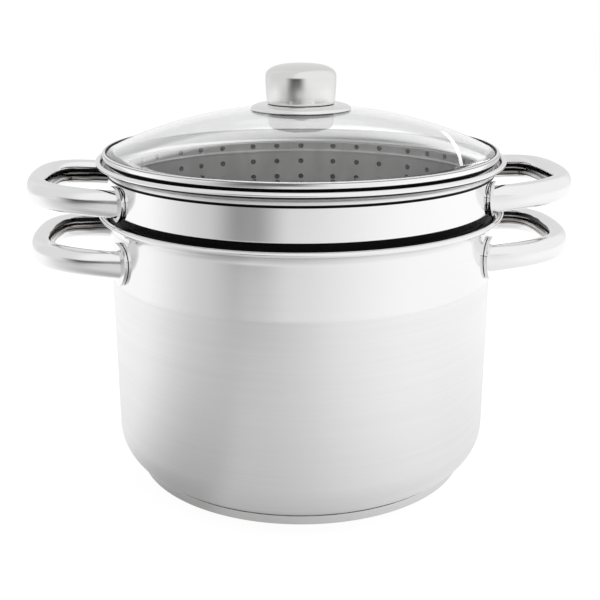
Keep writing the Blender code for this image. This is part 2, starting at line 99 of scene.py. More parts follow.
class Side(Enum):
    """Which pair of handles a piece belongs to, by its turn about the axis."""

    RIGHT = 0.0
    LEFT = math.pi


class End(Enum):
    """Which end of a handle a bracket carries, by the sign of its Y."""

    FRONT = -1.0
    REAR = 1.0


class Slot(Enum):
    """Material slots of the record."""

    BRUSHED = "brushed_steel"
    POLISHED = "polished_steel"
    SATIN = "satin_steel"
    ALUMINIUM = "aluminium"
    GLASS = "clear_glass"
    SILICONE = "silicone"
    PLASTIC = "black_plastic"


# Shader tools


class Wire:
    """A shader socket that takes part in arithmetic by adding Math nodes."""

    def __init__(self, graph: "Graph", socket: bpy.types.NodeSocket) -> None:
        """Wrap an output socket of a graph."""
        self.graph = graph
        self.socket = socket

    def maths(self, operation: str, *others: "Wire | float") -> "Wire":
        """Apply one Math operation.

        Args:
            operation: name of the Math node's operation.
            others: the operands after this one.

        Returns:
            The result as a wire.
        """
        return self.graph.maths(operation, self, *others)

    def __add__(self, other: "Wire | float") -> "Wire":
        """Add."""
        return self.maths("ADD", other)

    def __radd__(self, other: float) -> "Wire":
        """Add to a number."""
        return self.graph.maths("ADD", other, self)

    def __sub__(self, other: "Wire | float") -> "Wire":
        """Subtract."""
        return self.maths("SUBTRACT", other)

    def __rsub__(self, other: float) -> "Wire":
        """Subtract from a number."""
        return self.graph.maths("SUBTRACT", other, self)

    def __mul__(self, other: "Wire | float") -> "Wire":
        """Multiply."""
        return self.maths("MULTIPLY", other)

    def __rmul__(self, other: float) -> "Wire":
        """Multiply a number."""
        return self.graph.maths("MULTIPLY", other, self)

    def __pow__(self, other: "Wire | float") -> "Wire":
        """Raise to a power."""
        return self.maths("POWER", other)

    def ease(self, low: float, high: float) -> "Wire":
        """Go smoothly from 0 at one value to 1 at another.

        Args:
            low: value at which the result is 0.
            high: value at which the result is 1; it may be the smaller of the two.

        Returns:
            The eased share.
        """
        if high < low:
            return 1.0 - self.ease(high, low)
        node = self.graph.node("ShaderNodeMapRange", {"interpolation_type": "SMOOTHSTEP"},
                               {"Value": self, "From Min": low, "From Max": high})
        return self.graph.out(node, "Result")

    def above(self, value: float, edge: float) -> "Wire":
        """Be 1 above a value and 0 below it, eased over an edge on both sides."""
        return self.ease(value - edge, value + edge)

    def below(self, value: float, edge: float) -> "Wire":
        """Be 1 below a value and 0 above it, eased over an edge on both sides."""
        return self.ease(value + edge, value - edge)

    def between(self, low: float, high: float, edge: float) -> "Wire":
        """Be 1 from one value to another and 0 elsewhere.

        Args:
            low: lower value.
            high: higher value.
            edge: half the width of the eased step at each value.

        Returns:
            The eased share.
        """
        return self.above(low, edge) * self.below(high, edge)

    def hypot(self, other: "Wire") -> "Wire":
        """Length of the slanted side over this one and another at right angles."""
        return (self * self + other * other) ** 0.5


class Graph:
    """The node tree of a material or of the world."""

    def __init__(self, tree: bpy.types.NodeTree) -> None:
        """Take a tree and empty it."""
        self.tree = tree
        tree.nodes.clear()

    def node(self, kind: str, settings: dict | None = None,
             sockets: dict | None = None) -> bpy.types.Node:
        """Add a node.

        Args:
            kind: Blender's name of the node type.
            settings: properties that are set first.
            sockets: numbers, colours or wires for inputs, by name or index.

        Returns:
            The new node.
        """
        node = self.tree.nodes.new(kind)
        for name, value in (settings or {}).items():
            setattr(node, name, value)
        for name, value in (sockets or {}).items():
            if isinstance(value, Wire):
                self.tree.links.new(value.socket, node.inputs[name])
            else:
                node.inputs[name].default_value = value
        return node

    def out(self, node: bpy.types.Node, name: str | int = 0) -> Wire:
        """Wrap one of a node's outputs."""
        return Wire(self, node.outputs[name])

    def maths(self, operation: str, *operands: "Wire | float") -> Wire:
        """Add a Math node on wires and numbers."""
        node = self.node("ShaderNodeMath", {"operation": operation}, dict(enumerate(operands)))
        return self.out(node)

    def mix(self, share: "Wire | float", first: "Wire | Colour", second: "Wire | Colour") -> Wire:
        """Mix two colours.

        Args:
            share: 0 for the first colour, 1 for the second.
            first: a colour or a wire.
            second: a colour or a wire.

        Returns:
            The mixed colour.
        """
        first, second = (colour if isinstance(colour, Wire) else (*colour, 1.0)
                         for colour in (first, second))
        node = self.node("ShaderNodeMix", {"data_type": "RGBA"}, {0: share, 6: first, 7: second})
        return self.out(node, 2)

    def parts(self, vector: Wire) -> tuple[Wire, Wire, Wire]:
        """Split a vector into its three numbers."""
        node = self.node("ShaderNodeSeparateXYZ", None, {0: vector})
        return self.out(node, 0), self.out(node, 1), self.out(node, 2)

    def vector(self, x: "Wire | float", y: "Wire | float", z: "Wire | float") -> Wire:
        """Join three numbers into a vector."""
        return self.out(self.node("ShaderNodeCombineXYZ", None, {0: x, 1: y, 2: z}))

    def place(self) -> Wire:
        """Object coordinates, in metres."""
        return self.out(self.node("ShaderNodeTexCoord"), "Object")

    def around(self) -> tuple[Wire, Wire, Wire]:
        """Object coordinates, the distance from the vertical axis and the height."""
        place = self.place()
        x, y, z = self.parts(place)
        return place, x.hypot(y), z

    def noise(self, vector: Wire, scale: float, detail: float) -> Wire:
        """Add a noise that goes from 0 to 1 about 0.5."""
        node = self.node("ShaderNodeTexNoise", None,
                         {"Vector": vector, "Scale": scale, "Detail": detail})
        return self.out(node)

    def bump(self, height: Wire, depth: float, strength: float = 1.0) -> Wire:
        """Turn a height of 0 to 1 into a bent normal, with its depth in metres."""
        node = self.node("ShaderNodeBump", None,
                         {"Strength": strength, "Distance": depth, "Height": height})
        return self.out(node)


# Finishes


def toned(colour: Colour, tone: float) -> Colour:
    """Scale a colour."""
    return (colour[0] * tone, colour[1] * tone, colour[2] * tone)


@dataclass(frozen=True)
class Finish:
    """Material of one Principled shader, bare metal unless its fixed values differ."""

    name: str

    def fixed(self) -> dict:
        """Values, by socket name, that are the same all over."""
        return {"Metallic": 1.0}

    def varied(self, graph: Graph) -> dict:
        """Wires, by socket name, that vary over the surface."""
        raise NotImplementedError(self.name)

    def make(self) -> bpy.types.Material:
        """Make the material."""
        material = bpy.data.materials.new(self.name)
        material.use_nodes = True
        graph = Graph(material.node_tree)
        shader = graph.node("ShaderNodeBsdfPrincipled", None,
                            {**self.fixed(), **self.varied(graph)})
        graph.node("ShaderNodeOutputMaterial", None, {"Surface": graph.out(shader)})
        return material


@dataclass(frozen=True)
class Brushing:
    """Fine lines that run round the axis, and softer bands among them."""

    line_rate: float = 2600.0
    band_rate: float = 260.0
    length_rate: float = 9.0
    lean: float = 1.7
    line_share: float = 0.6

    def wires(self, graph: Graph) -> tuple[Wire, Wire, Wire]:
        """Return the lines, the bands and the grain that they make, each from 0 to 1."""
        x, y, z = graph.parts(graph.place())
        along = z + x.hypot(y) * self.lean
        around = (x * self.length_rate, y * self.length_rate)
        lines = graph.noise(graph.vector(*around, along * self.line_rate), 1.0, 2.0)
        bands = graph.noise(graph.vector(*around, along * self.band_rate), 1.0, 3.0)
        return lines, bands, self.line_share * lines + (1 - self.line_share) * bands


@dataclass(frozen=True)
class Polish:
    """Mirror polish with faint clouds and a slight unevenness."""

    colour: Colour = (0.87, 0.87, 0.875)
    cloud_rate: float = 45.0
    cloud_depth: float = 0.06
    cloud_tone: float = 0.8
    wave_rate: float = 70.0
    wave_depth: float = 0.03 * MM
    wave_strength: float = 0.5

    def wires(self, graph: Graph, place: Wire) -> tuple[Wire, Wire, Wire]:
        """Return the clouds from 0 to 1, the clouded colour and the uneven normal."""
        cloud = graph.noise(place, self.cloud_rate, 3.0)
        clouded = toned(self.colour, self.cloud_tone)
        colour = graph.mix(self.cloud_depth * cloud, self.colour, clouded)
        waves = graph.noise(place, self.wave_rate, 1.0)
        return cloud, colour, graph.bump(waves, self.wave_depth, self.wave_strength)


@dataclass(frozen=True, kw_only=True)
class TurnedSteel(Finish):
    """Metal with fine lines round the axis, which stretch its highlights."""

    anisotropy: float = 0.75
    groove: float = 0.004 * MM
    brushing: Brushing = Brushing()

    def fixed(self) -> dict:
        """Values, by socket name, that are the same all over."""
        return {"Metallic": 1.0, "Anisotropic": self.anisotropy,
                "Anisotropic Rotation": ROUND_THE_AXIS}


@dataclass(frozen=True)
class BrushedSteel(TurnedSteel):
    """Metal brushed round the axis."""

    colour: Colour
    roughness: float
    spread: float = 0.10
    contrast: float = 0.10

    def varied(self, graph: Graph) -> dict:
        """Streaked colour, roughness and grooves."""
        lines, bands, grain = self.brushing.wires(graph)
        tone = 1.0 - self.contrast * grain
        return {"Base Color": graph.mix(tone, BLACK, self.colour),
                "Roughness": self.roughness + self.spread * (bands - 0.5),
                "Normal": graph.bump(lines, self.groove)}


@dataclass(frozen=True)
class PotWallSteel(TurnedSteel):
    """The pot's wall: brushed below, polished above a soft boundary near the handles."""

    brushed_colour: Colour = (0.885, 0.88, 0.88)
    polished_colour: Colour = (0.87, 0.87, 0.87)
    boundary: float = 129.5 * MM
    blur: float = 1.5 * MM
    waver: float = 2.0 * MM
    contrast: float = 0.12
    contrast_fall: float = 0.08
    brushed_roughness: float = 0.30
    polished_roughness: float = 0.13
    spread: float = 0.08
    anisotropy: float = 0.6
    groove_fall: float = 0.6

    def varied(self, graph: Graph) -> dict:
        """Two zones with streaks that are stronger in the brushed one."""
        lines, bands, grain = self.brushing.wires(graph)
        _, _, z = graph.parts(graph.place())
        edge = z + (bands - 0.5) * self.waver
        polished = edge.above(self.boundary, self.blur)
        tone = 1.0 - (self.contrast - self.contrast_fall * polished) * grain
        colour = graph.mix(polished, self.brushed_colour, self.polished_colour)
        fall = self.polished_roughness - self.brushed_roughness
        return {"Base Color": graph.mix(tone, BLACK, colour),
                "Roughness": (self.brushed_roughness + fall * polished
                              + self.spread * (bands - 0.5)),
                "Normal": graph.bump(lines * (1.0 - self.groove_fall * polished), self.groove)}


@dataclass(frozen=True)
class CollarSteel(Finish):
    """The insert's band: mirror-polished outside, dull inside and in its seams, and with painted
    shade there.
    """

    polish: Polish = Polish()
    # Painted shade: this colour stands in for the shade inside the band, in its groove, under the
    # lip's hem and in the gap over the pot's lip.
    shade_paint_colour: Colour = (0.012, 0.012, 0.012)
    inner_radius: float = 119.6 * MM
    inner_blur: float = 0.32 * MM
    inner_top: float = 191.5 * MM
    top_blur: float = 1.0 * MM
    # Heights of the painted shade bands: the foot in the gap over the pot's lip, the groove under
    # the flare, and the slit under the hem.
    foot_gap_shade: Span = (150.0 * MM, 172.5 * MM)
    groove_shade: Span = (191.45 * MM, 193.05 * MM)
    hem_slit_shade: Span = (196.95 * MM, 198.5 * MM)
    hem_slope: float = 0.8
    hem_reach: float = -35.06 * MM
    cove: Span = (193.1 * MM, 197.3 * MM)
    edge: float = 0.08 * MM
    roughness: float = 0.05
    cloud_roughness: float = 0.03
    cove_roughness: float = 0.30
    dull_roughness: float = 0.45

    def varied(self, graph: Graph) -> dict:
        """Polish, dull inside, and painted shade inside and in the seams, by place."""
        place, out, z = graph.around()
        cloud, polish, normal = self.polish.wires(graph, place)
        # Painted shade on the band's inner face, below its top.
        inside = (out.ease(self.inner_radius, self.inner_radius - self.inner_blur)
                  * z.ease(self.inner_top + self.top_blur, self.inner_top))
        reach = out - self.hem_slope * z
        # Painted shade in the foot's gap, the groove and the slit under the hem.
        painted_shade = (z.between(*self.foot_gap_shade, self.edge) + z.between(*self.groove_shade, self.edge)
                + z.between(*self.hem_slit_shade, self.edge) * reach.above(self.hem_reach, self.edge))
        colour = graph.mix(inside, polish, self.shade_paint_colour)
        dull = inside.maths("MAXIMUM", painted_shade)
        low, high = self.cove
        cove = z.above(low, self.edge) * z.ease(high + self.top_blur, high)
        return {"Base Color": graph.mix(painted_shade, colour, self.shade_paint_colour),
                "Roughness": (self.roughness + self.cloud_roughness * cloud
                              + (self.cove_roughness - self.roughness) * cove
                              + (self.dull_roughness - self.roughness) * dull),
                "Normal": normal}


@dataclass(frozen=True)
class StrainerSteel(TurnedSteel):
    """Drilled sheet: darker outside than inside, with painted near-black shade in its holes."""

    outside: Colour = (0.62, 0.61, 0.60)
    inside: Colour = (0.80, 0.795, 0.79)
    # Painted shade: the bores are painted near-black, where there is only shade.
    bore: Colour = (0.004, 0.004, 0.004)
    radius: float = 114.4 * MM
    sheet: float = 0.7 * MM
    middle_blur: float = 0.2 * MM
    bore_reach: float = 0.27 * MM
    bore_fade: float = 0.33 * MM
    bore_bottom: float = 101.5 * MM
    bore_top: float = 192.3 * MM
    bottom_blur: float = 1.0 * MM
    top_blur: float = 0.4 * MM
    stain_rate: float = 60.0
    stain_rise_rate: float = 25.0
    stain_edges: Span = (0.32, 0.85)
    stain_depth: float = 0.22
    stain_roughness: float = 0.1
    line_depth: float = 0.12
    roughness: float = 0.34
    spread: float = 0.10
    anisotropy: float = 0.7

    def varied(self, graph: Graph) -> dict:
        """Inside, outside and painted shade in the bores by place, with streaks and stains."""
        x, y, z = graph.parts(graph.place())
        lines, bands, _ = self.brushing.wires(graph)
        stain = graph.noise(graph.vector(x * self.stain_rate, y * self.stain_rate,
                                         z * self.stain_rise_rate), 1.0, 3.0)
        depth = x.hypot(y) - (self.radius - self.sheet / 2)
        tone = 1.0 - self.line_depth * lines - self.stain_depth * stain.ease(*self.stain_edges)
        sheet = graph.mix(depth.above(0.0, self.middle_blur), self.inside, self.outside)
        # Painted shade in the bores, through the sheet's thickness between the lowest and highest
        # rows.
        bore_shade = (depth.maths("ABSOLUTE").ease(self.bore_fade, self.bore_reach)
                  * z.ease(self.bore_bottom - self.bottom_blur, self.bore_bottom)
                  * z.ease(self.bore_top, self.bore_top - self.top_blur))
        return {"Base Color": graph.mix(bore_shade, graph.mix(tone, BLACK, sheet), self.bore),
                "Roughness": (self.roughness + self.spread * (bands - 0.5)
                              + self.stain_roughness * stain),
                "Normal": graph.bump(lines, self.groove)}


@dataclass(frozen=True)
class MirrorSteel(Finish):
    """Mirror-polished stainless steel with faint polishing haze."""

    polish: Polish = Polish()
    roughness: float = 0.035
    haze: float = 0.04
    haze_edges: Span = (0.45, 0.75)
    scratch_rate: float = 1400.0
    scratch_roughness: float = 0.015

    def varied(self, graph: Graph) -> dict:
        """Cloudy haze and a faint unevenness from polishing."""
        place = graph.place()
        cloud, colour, normal = self.polish.wires(graph, place)
        scratches = graph.noise(place, self.scratch_rate, 2.0)
        return {"Base Color": colour,
                "Roughness": (self.roughness + self.haze * cloud.ease(*self.haze_edges)
                              + self.scratch_roughness * scratches),
                "Normal": normal}


@dataclass(frozen=True)
class HandleSteel(Finish):
    """Polished tube: its inner side, turned from the light, has painted reflections along the bend,
    in dark bands and a tinted wash.

    The bands are placed by the tube's own attribute "lie": how far along the tube a point
    is, how far towards the finger gap, and how far up. A band is its middle and half width.
    """

    bands: tuple[Span, ...]
    wash: Span
    polish: Polish = Polish()
    # Painted reflection: the wash and the bands stand in for dark surroundings mirrored in the
    # inner side.
    reflection_wash_colour: Colour = (0.20, 0.185, 0.17)
    reflection_band_colour: Colour = (0.010, 0.010, 0.010)
    inner_edges: Span = (0.30, 0.50)
    edge: float = 0.03
    waver: float = 0.30
    waver_rates: Span = (7.0, 0.6)
    streak_rates: Span = (6.0, 26.0)
    streak_seed: float = 3.0
    streak_edges: Span = (0.50, 0.62)
    streak_depth: float = 0.75
    roughness: float = 0.035
    cloud_roughness: float = 0.03
    outer_roughness: float = 0.10

    def varied(self, graph: Graph) -> dict:
        """Painted dark reflection bands that waver along the inner side, with light streaks in a
        painted reflection wash.
        """
        cloud, polish, normal = self.polish.wires(graph, graph.place())
        lie = graph.out(graph.node("ShaderNodeAttribute", {"attribute_name": "lie"}), "Vector")
        along, inward, up = graph.parts(lie)
        inner = inward.ease(*self.inner_edges)
        along_rate, up_rate = self.waver_rates
        waver = graph.noise(graph.vector(along * along_rate, up * up_rate, 0.0), 1.0, 2.0)
        level = up + self.waver * (waver - 0.5)
        # Painted dark reflection bands.
        dark = 0.0
        for middle, half in self.bands:
            distance = (level - middle).maths("ABSOLUTE")
            dark = distance.below(half, self.edge) + dark
        along_rate, up_rate = self.streak_rates
        streak = graph.noise(graph.vector(along * along_rate, up * up_rate, self.streak_seed),
                             1.0, 2.0)
        # Painted reflection wash, broken by light streaks.
        reflection_tint = (inner * level.between(*self.wash, self.edge)
                * (1.0 - self.streak_depth * streak.ease(*self.streak_edges)))
        colour = graph.mix(reflection_tint, polish, self.reflection_wash_colour)
        return {"Base Color": graph.mix(inner * dark, colour, self.reflection_band_colour),
                "Roughness": (self.roughness + self.cloud_roughness * cloud
                              + self.outer_roughness * (1.0 - inner)),
                "Normal": normal}


@dataclass(frozen=True)
class RingSteel(Finish):
    """The lid's ring: mirror-polished, with painted shade in the folds against the lip and the
    glass.
    """

    polish: Polish = Polish()
    # Painted shade: this colour stands in for the shade in the folds, the crease and the lap over
    # the glass.
    shade_paint_colour: Colour = (0.012, 0.012, 0.012)
    fold_shade: Span = (199.5 * MM, 202.0 * MM)
    skirt_radius: float = 119.95 * MM
    crease_shade: Span = (204.62 * MM, 204.98 * MM)
    crease_radius: float = 121.8 * MM
    crease_depth: float = 0.8
    lap_radius: float = 120.6 * MM
    lap_low: float = 204.4 * MM
    edge: float = 0.08 * MM
    roughness: float = 0.045
    cloud_roughness: float = 0.03
    seam_roughness: float = 0.4
    skirt_roughness: float = 0.40

    def varied(self, graph: Graph) -> dict:
        """Polish, satin inside of the skirt and painted shade in the folds, by place."""
        place, out, z = graph.around()
        cloud, polish, normal = self.polish.wires(graph, place)
        outer = out.above(self.skirt_radius, self.edge)
        # Painted shade under the ring's outer fold, over the insert's lip.
        fold_shade = outer * z.between(*self.fold_shade, self.edge)
        skirt = (1.0 - outer) * z.below(self.fold_shade[1], self.edge)
        crease_shade = z.between(*self.crease_shade, self.edge) * out.above(self.crease_radius, self.edge)
        lap_shade = out.below(self.lap_radius, self.edge) * z.above(self.lap_low, self.edge)
        # Painted shade in the fold and the lap, and fainter in the crease.
        painted_shade = fold_shade.maths("MAXIMUM", lap_shade).maths("MAXIMUM", self.crease_depth * crease_shade)
        return {"Base Color": graph.mix(painted_shade, polish, self.shade_paint_colour),
                "Roughness": (self.roughness + self.cloud_roughness * cloud
                              + self.seam_roughness * painted_shade + self.skirt_roughness * skirt),
                "Normal": normal}


@dataclass(frozen=True)
class ClearGlass(Finish):
    """Clear tempered glass with a perfectly sharp gloss."""

    colour: Colour = (0.985, 0.995, 0.99)
    cloud_rate: float = 18.0
    cloud_tone: float = 0.99
    index: float = 1.45

    def fixed(self) -> dict:
        """Values, by socket name, that are the same all over."""
        return {"Transmission Weight": 1.0, "IOR": self.index, "Roughness": 0.0}

    def varied(self, graph: Graph) -> dict:
        """A trace of cloud in the colour."""
        cloud = graph.noise(graph.place(), self.cloud_rate, 3.0)
        return {"Base Color": graph.mix(cloud, self.colour, toned(self.colour, self.cloud_tone))}


@dataclass(frozen=True)
class Moulded(Finish):
    """Moulded silicone or plastic with a fine surface grain."""

    colour: Colour
    roughness: float
    spread: float = 0.1
    cloud_rate: float = 120.0
    cloud_tone: float = 0.92
    grain_rate: float = 2600.0
    grain: float = 0.02 * MM
    subsurface: float = 0.0
    subsurface_depth: float = 2.0 * MM

    def fixed(self) -> dict:
        """Values, by socket name, that are the same all over."""
        return {"Subsurface Weight": self.subsurface, "Subsurface Scale": self.subsurface_depth}

    def varied(self, graph: Graph) -> dict:
        """Slight clouds in colour and gloss, and a fine grain."""
        place = graph.place()
        cloud = graph.noise(place, self.cloud_rate, 3.0)
        return {"Base Color": graph.mix(cloud, toned(self.colour, self.cloud_tone), self.colour),
                "Roughness": self.roughness + self.spread * (cloud - 0.5),
                "Normal": graph.bump(graph.noise(place, self.grain_rate, 2.0), self.grain)}


# Bench tools


def lay_down() -> None:
    """Leave edit mode and deselect everything."""
    if bpy.context.object and bpy.context.object.mode != "OBJECT":
        bpy.ops.object.mode_set(mode="OBJECT")
    bpy.ops.object.select_all(action="DESELECT")


def take_up(piece: bpy.types.Object) -> None:
    """Select one piece alone and make it the active one."""
    lay_down()
    piece.select_set(True)
    bpy.context.view_layer.objects.active = piece


def edit(piece: bpy.types.Object) -> None:
    """Take up a piece and open its mesh with all of it selected."""
    take_up(piece)
    bpy.ops.object.mode_set(mode="EDIT")
    bpy.ops.mesh.select_all(action="SELECT")


def pick(piece: bpy.types.Object, wanted: Callable[[Vector], bool]) -> None:
    """Select the vertices of an open mesh that pass a test of their place.

    Args:
        piece: object in edit mode.
        wanted: function of a vertex's place that returns whether it is selected.
    """
    bpy.ops.mesh.select_mode(type="VERT")
    mesh = bmesh.from_edit_mesh(piece.data)
    for vertex in mesh.verts:
        vertex.select = bool(wanted(vertex.co))
    mesh.select_flush_mode()
    bmesh.update_edit_mesh(piece.data)


def shape(piece: bpy.types.Object, kind: str, **settings) -> None:
    """Add a modifier with its settings and apply it."""
    take_up(piece)
    modifier = piece.modifiers.new(kind.lower(), kind)
    for name, value in settings.items():
        setattr(modifier, name, value)
    bpy.ops.object.modifier_apply(modifier=modifier.name)


def true_up(piece: bpy.types.Object) -> None:
    """Merge doubles, turn the faces outwards and leave edit mode."""
    edit(piece)
    bpy.ops.mesh.remove_doubles(threshold=MERGE_DISTANCE)
    bpy.ops.mesh.normals_make_consistent(inside=False)
    bpy.ops.object.mode_set(mode="OBJECT")


def smooth(piece: bpy.types.Object, angle: float = math.radians(32)) -> bpy.types.Object:
    """Apply the piece's place to its mesh and shade it smooth up to an angle."""
    take_up(piece)
    bpy.ops.object.transform_apply(location=True, rotation=True, scale=True)
    bpy.ops.object.shade_smooth_by_angle(angle=angle)
    lay_down()
    return piece


def arc(centre: tuple[float, float], radius: float, start: float, end: float,
        segments: int) -> Outline:
    """Return points along an arc in the (radius, height) plane, both ends included."""
    angles = [start + (end - start) * i / segments for i in range(segments + 1)]
    return [(centre[0] + radius * math.cos(a), centre[1] + radius * math.sin(a)) for a in angles]


def eased(points: Outline, radius: float, segments: int = 4, closed: bool = False) -> Outline:
    """Round the corners of an outline.

    Args:
        points: corners in order.
        radius: how far from each corner the rounding starts, at most.
        segments: segments of each rounding.
        closed: whether the last corner joins the first.

    Returns:
        The outline with each corner replaced by a short curve.
    """
    count = len(points)
    result = []
    for i, corner in enumerate(points):
        if not closed and i in (0, count - 1):
            result.append(corner)
            continue
        middle = Vector(corner)
        before, after = Vector(points[i - 1]) - middle, Vector(points[(i + 1) % count]) - middle
        cut = min(radius, CUT_SHARE * before.length, CUT_SHARE * after.length)
        first, last = middle + before.normalized() * cut, middle + after.normalized() * cut
        for k in range(segments + 1):
            t = k / segments
            point = first * (1 - t) ** 2 + middle * (2 * t * (1 - t)) + last * t ** 2
            result.append((point.x, point.y))
    return result


def draw_line(name: str, points: Outline, closed: bool) -> bpy.types.Object:
    """Draw an outline in the XZ plane by extruding a point from corner to corner.

    Args:
        name: the object's name.
        points: (x, z) places in order.
        closed: whether the last point joins the first.

    Returns:
        The object, in edit mode with all of it selected.
    """
    lay_down()
    bpy.ops.mesh.primitive_circle_add(vertices=3, radius=MM,
                                      location=(points[0][0], 0.0, points[0][1]))
    piece = bpy.context.object
    piece.name = piece.data.name = name
    bpy.ops.object.transform_apply(location=True)
    edit(piece)
    bpy.ops.mesh.merge(type="CENTER")
    for (x, z), (next_x, next_z) in zip(points, points[1:]):
        bpy.ops.mesh.extrude_vertices_move(
            TRANSFORM_OT_translate={"value": (next_x - x, 0.0, next_z - z)})
    if closed:
        first, last = (Vector((x, 0.0, z)) for x, z in (points[0], points[-1]))
        near = 0.01 * MM
        pick(piece, lambda place: min((place - first).length, (place - last).length) < near)
        bpy.ops.mesh.edge_face_add()
    bpy.ops.mesh.select_all(action="SELECT")
    return piece


def held(points: Outline, closed: bool) -> Outline:
    """Add a point near both ends of each long straight run, so that it is shaded flat."""
    result = []
    for i, (r, z) in enumerate(points):
        result.append((r, z))
        if closed or i < len(points) - 1:
            next_r, next_z = points[(i + 1) % len(points)]
            length = math.dist((r, z), (next_r, next_z))
            shares = (HOLD / length, 1 - HOLD / length) if length > LONG_RUN else ()
            added = [(r + (next_r - r) * share, z + (next_z - z) * share) for share in shares]
            result += [point for point in added if point[0] > MM]
    return result


def turn(name: str, points: Outline, closed: bool = False, steps: int = 144) -> bpy.types.Object:
    """Turn an outline about the vertical axis, as on a lathe.

    Args:
        name: the object's name.
        points: (radius, height) places in order.
        closed: whether the outline is a ring that doesn't meet the axis.
        steps: segments round the axis.

    Returns:
        The turned piece, with clean normals and smooth shading.
    """
    piece = draw_line(name, held(points, closed), closed)
    bpy.ops.mesh.spin(steps=steps, angle=TURN, center=ORIGIN, axis=UPRIGHT)
    true_up(piece)
    return smooth(piece)


def copy_piece(piece: bpy.types.Object, name: str, lift: float = 0.0,
               heading: float = 0.0) -> bpy.types.Object:
    """Copy a piece with its own mesh, raise it and turn it about the vertical axis.

    Args:
        piece: the piece that was modelled once.
        name: name of the copy.
        lift: rise of the copy.
        heading: turn of the copy, anticlockwise from above.

    Returns:
        The copy, with its place in its mesh.
    """
    take_up(piece)
    bpy.ops.object.duplicate(linked=False)
    copy = bpy.context.object
    copy.name = copy.data.name = name
    copy.location = (0.0, 0.0, lift)
    copy.rotation_euler = (0.0, 0.0, heading)
    bpy.ops.object.transform_apply(location=True, rotation=True, scale=True)
    lay_down()
    return copy


def scrap(*pieces: bpy.types.Object) -> None:
    """Remove helpers that are no part of the object."""
    for piece in pieces:
        bpy.data.objects.remove(piece, do_unlink=True)


def dress(piece: bpy.types.Object, material: bpy.types.Material) -> None:
    """Give a piece one material."""
    piece.data.materials.clear()
    piece.data.materials.append(material)


def fit(piece: bpy.types.Object, node: str, body: Body,
        material: bpy.types.Material) -> None:
    """Dress a piece, put it on its body and let it stand for its CAD node.

    Args:
        piece: the finished piece.
        node: the CAD node that it stands for.
        body: the body that it moves with.
        material: its finish.
    """
    dress(piece, material)
    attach(piece, body.value)
    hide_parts(node)
    logging.info("%s stands for %s on %s, %d faces", piece.name, node, body.value,
                 len(piece.data.polygons))


# Sub-assemblies


@dataclass
class Mouth:
    """Flared mouth with a rolled lip, the same on pot and insert."""

    wall_radius: float = 120.0 * MM
    cove_radius: float = 6.0 * MM
    cove_turn: float = math.radians(75.0)
    full_bead: float = 1.6 * MM
    bead_radius: float = 1.585 * MM
    bead_run: float = 1.15 * MM
    slit_lip: float = math.radians(-122.0)
    slit_floor: Span = (math.radians(106.0), math.radians(110.0))
    slit_foot: float = math.radians(111.0)
    slit_depth: float = 0.45

    def bead_centre(self) -> tuple[float, float]:
        """Centre of the lip, out from the wall and up from the line where the flare starts."""
        run_out, run_up = math.sin(self.cove_turn), math.cos(self.cove_turn)
        return (self.cove_radius * (1 - run_up) - self.full_bead * run_up + self.bead_run * run_out,
                self.cove_radius * run_out + self.full_bead * run_out + self.bead_run * run_up)

    def height(self) -> float:
        """Rise of the lip's top above the line where the flare starts."""
        return self.bead_centre()[1] + self.full_bead

    def outline(self, line: float, sheet: float, slit: bool = False) -> Outline:
        """Go up the inside, over the lip and down the outside.

        Args:
            line: height where the flare starts.
            sheet: thickness of the wall.
            slit: whether the lip's hem leaves a slit under it.

        Returns:
            The outline's points.
        """
        cove = (self.wall_radius + self.cove_radius, line)
        out, up = self.bead_centre()
        bead = (self.wall_radius + out, line + up)
        reach = self.cove_radius + sheet
        spacing = math.dist(cove, bead)
        toward = math.atan2(bead[1] - cove[1], bead[0] - cove[0])
        opening = math.acos((spacing ** 2 + reach ** 2 - self.bead_radius ** 2)
                            / (2 * spacing * reach))
        inside = arc(cove, reach, math.pi, toward + opening, 12)
        lip_start = math.atan2(inside[-1][1] - bead[1], inside[-1][0] - bead[0]) % TURN
        if slit:
            lip = arc(bead, self.bead_radius, lip_start, self.slit_lip, 24)
            lip += arc(cove, self.cove_radius + self.slit_depth * sheet, *self.slit_floor, 1)
            outside = arc(cove, self.cove_radius, self.slit_foot, math.pi, 12)
        else:
            lip = arc(bead, self.bead_radius, lip_start, -self.cove_turn, 20)
            outside = arc(cove, self.cove_radius, math.pi - self.cove_turn, math.pi, 12)
        return inside + lip[1:] + outside


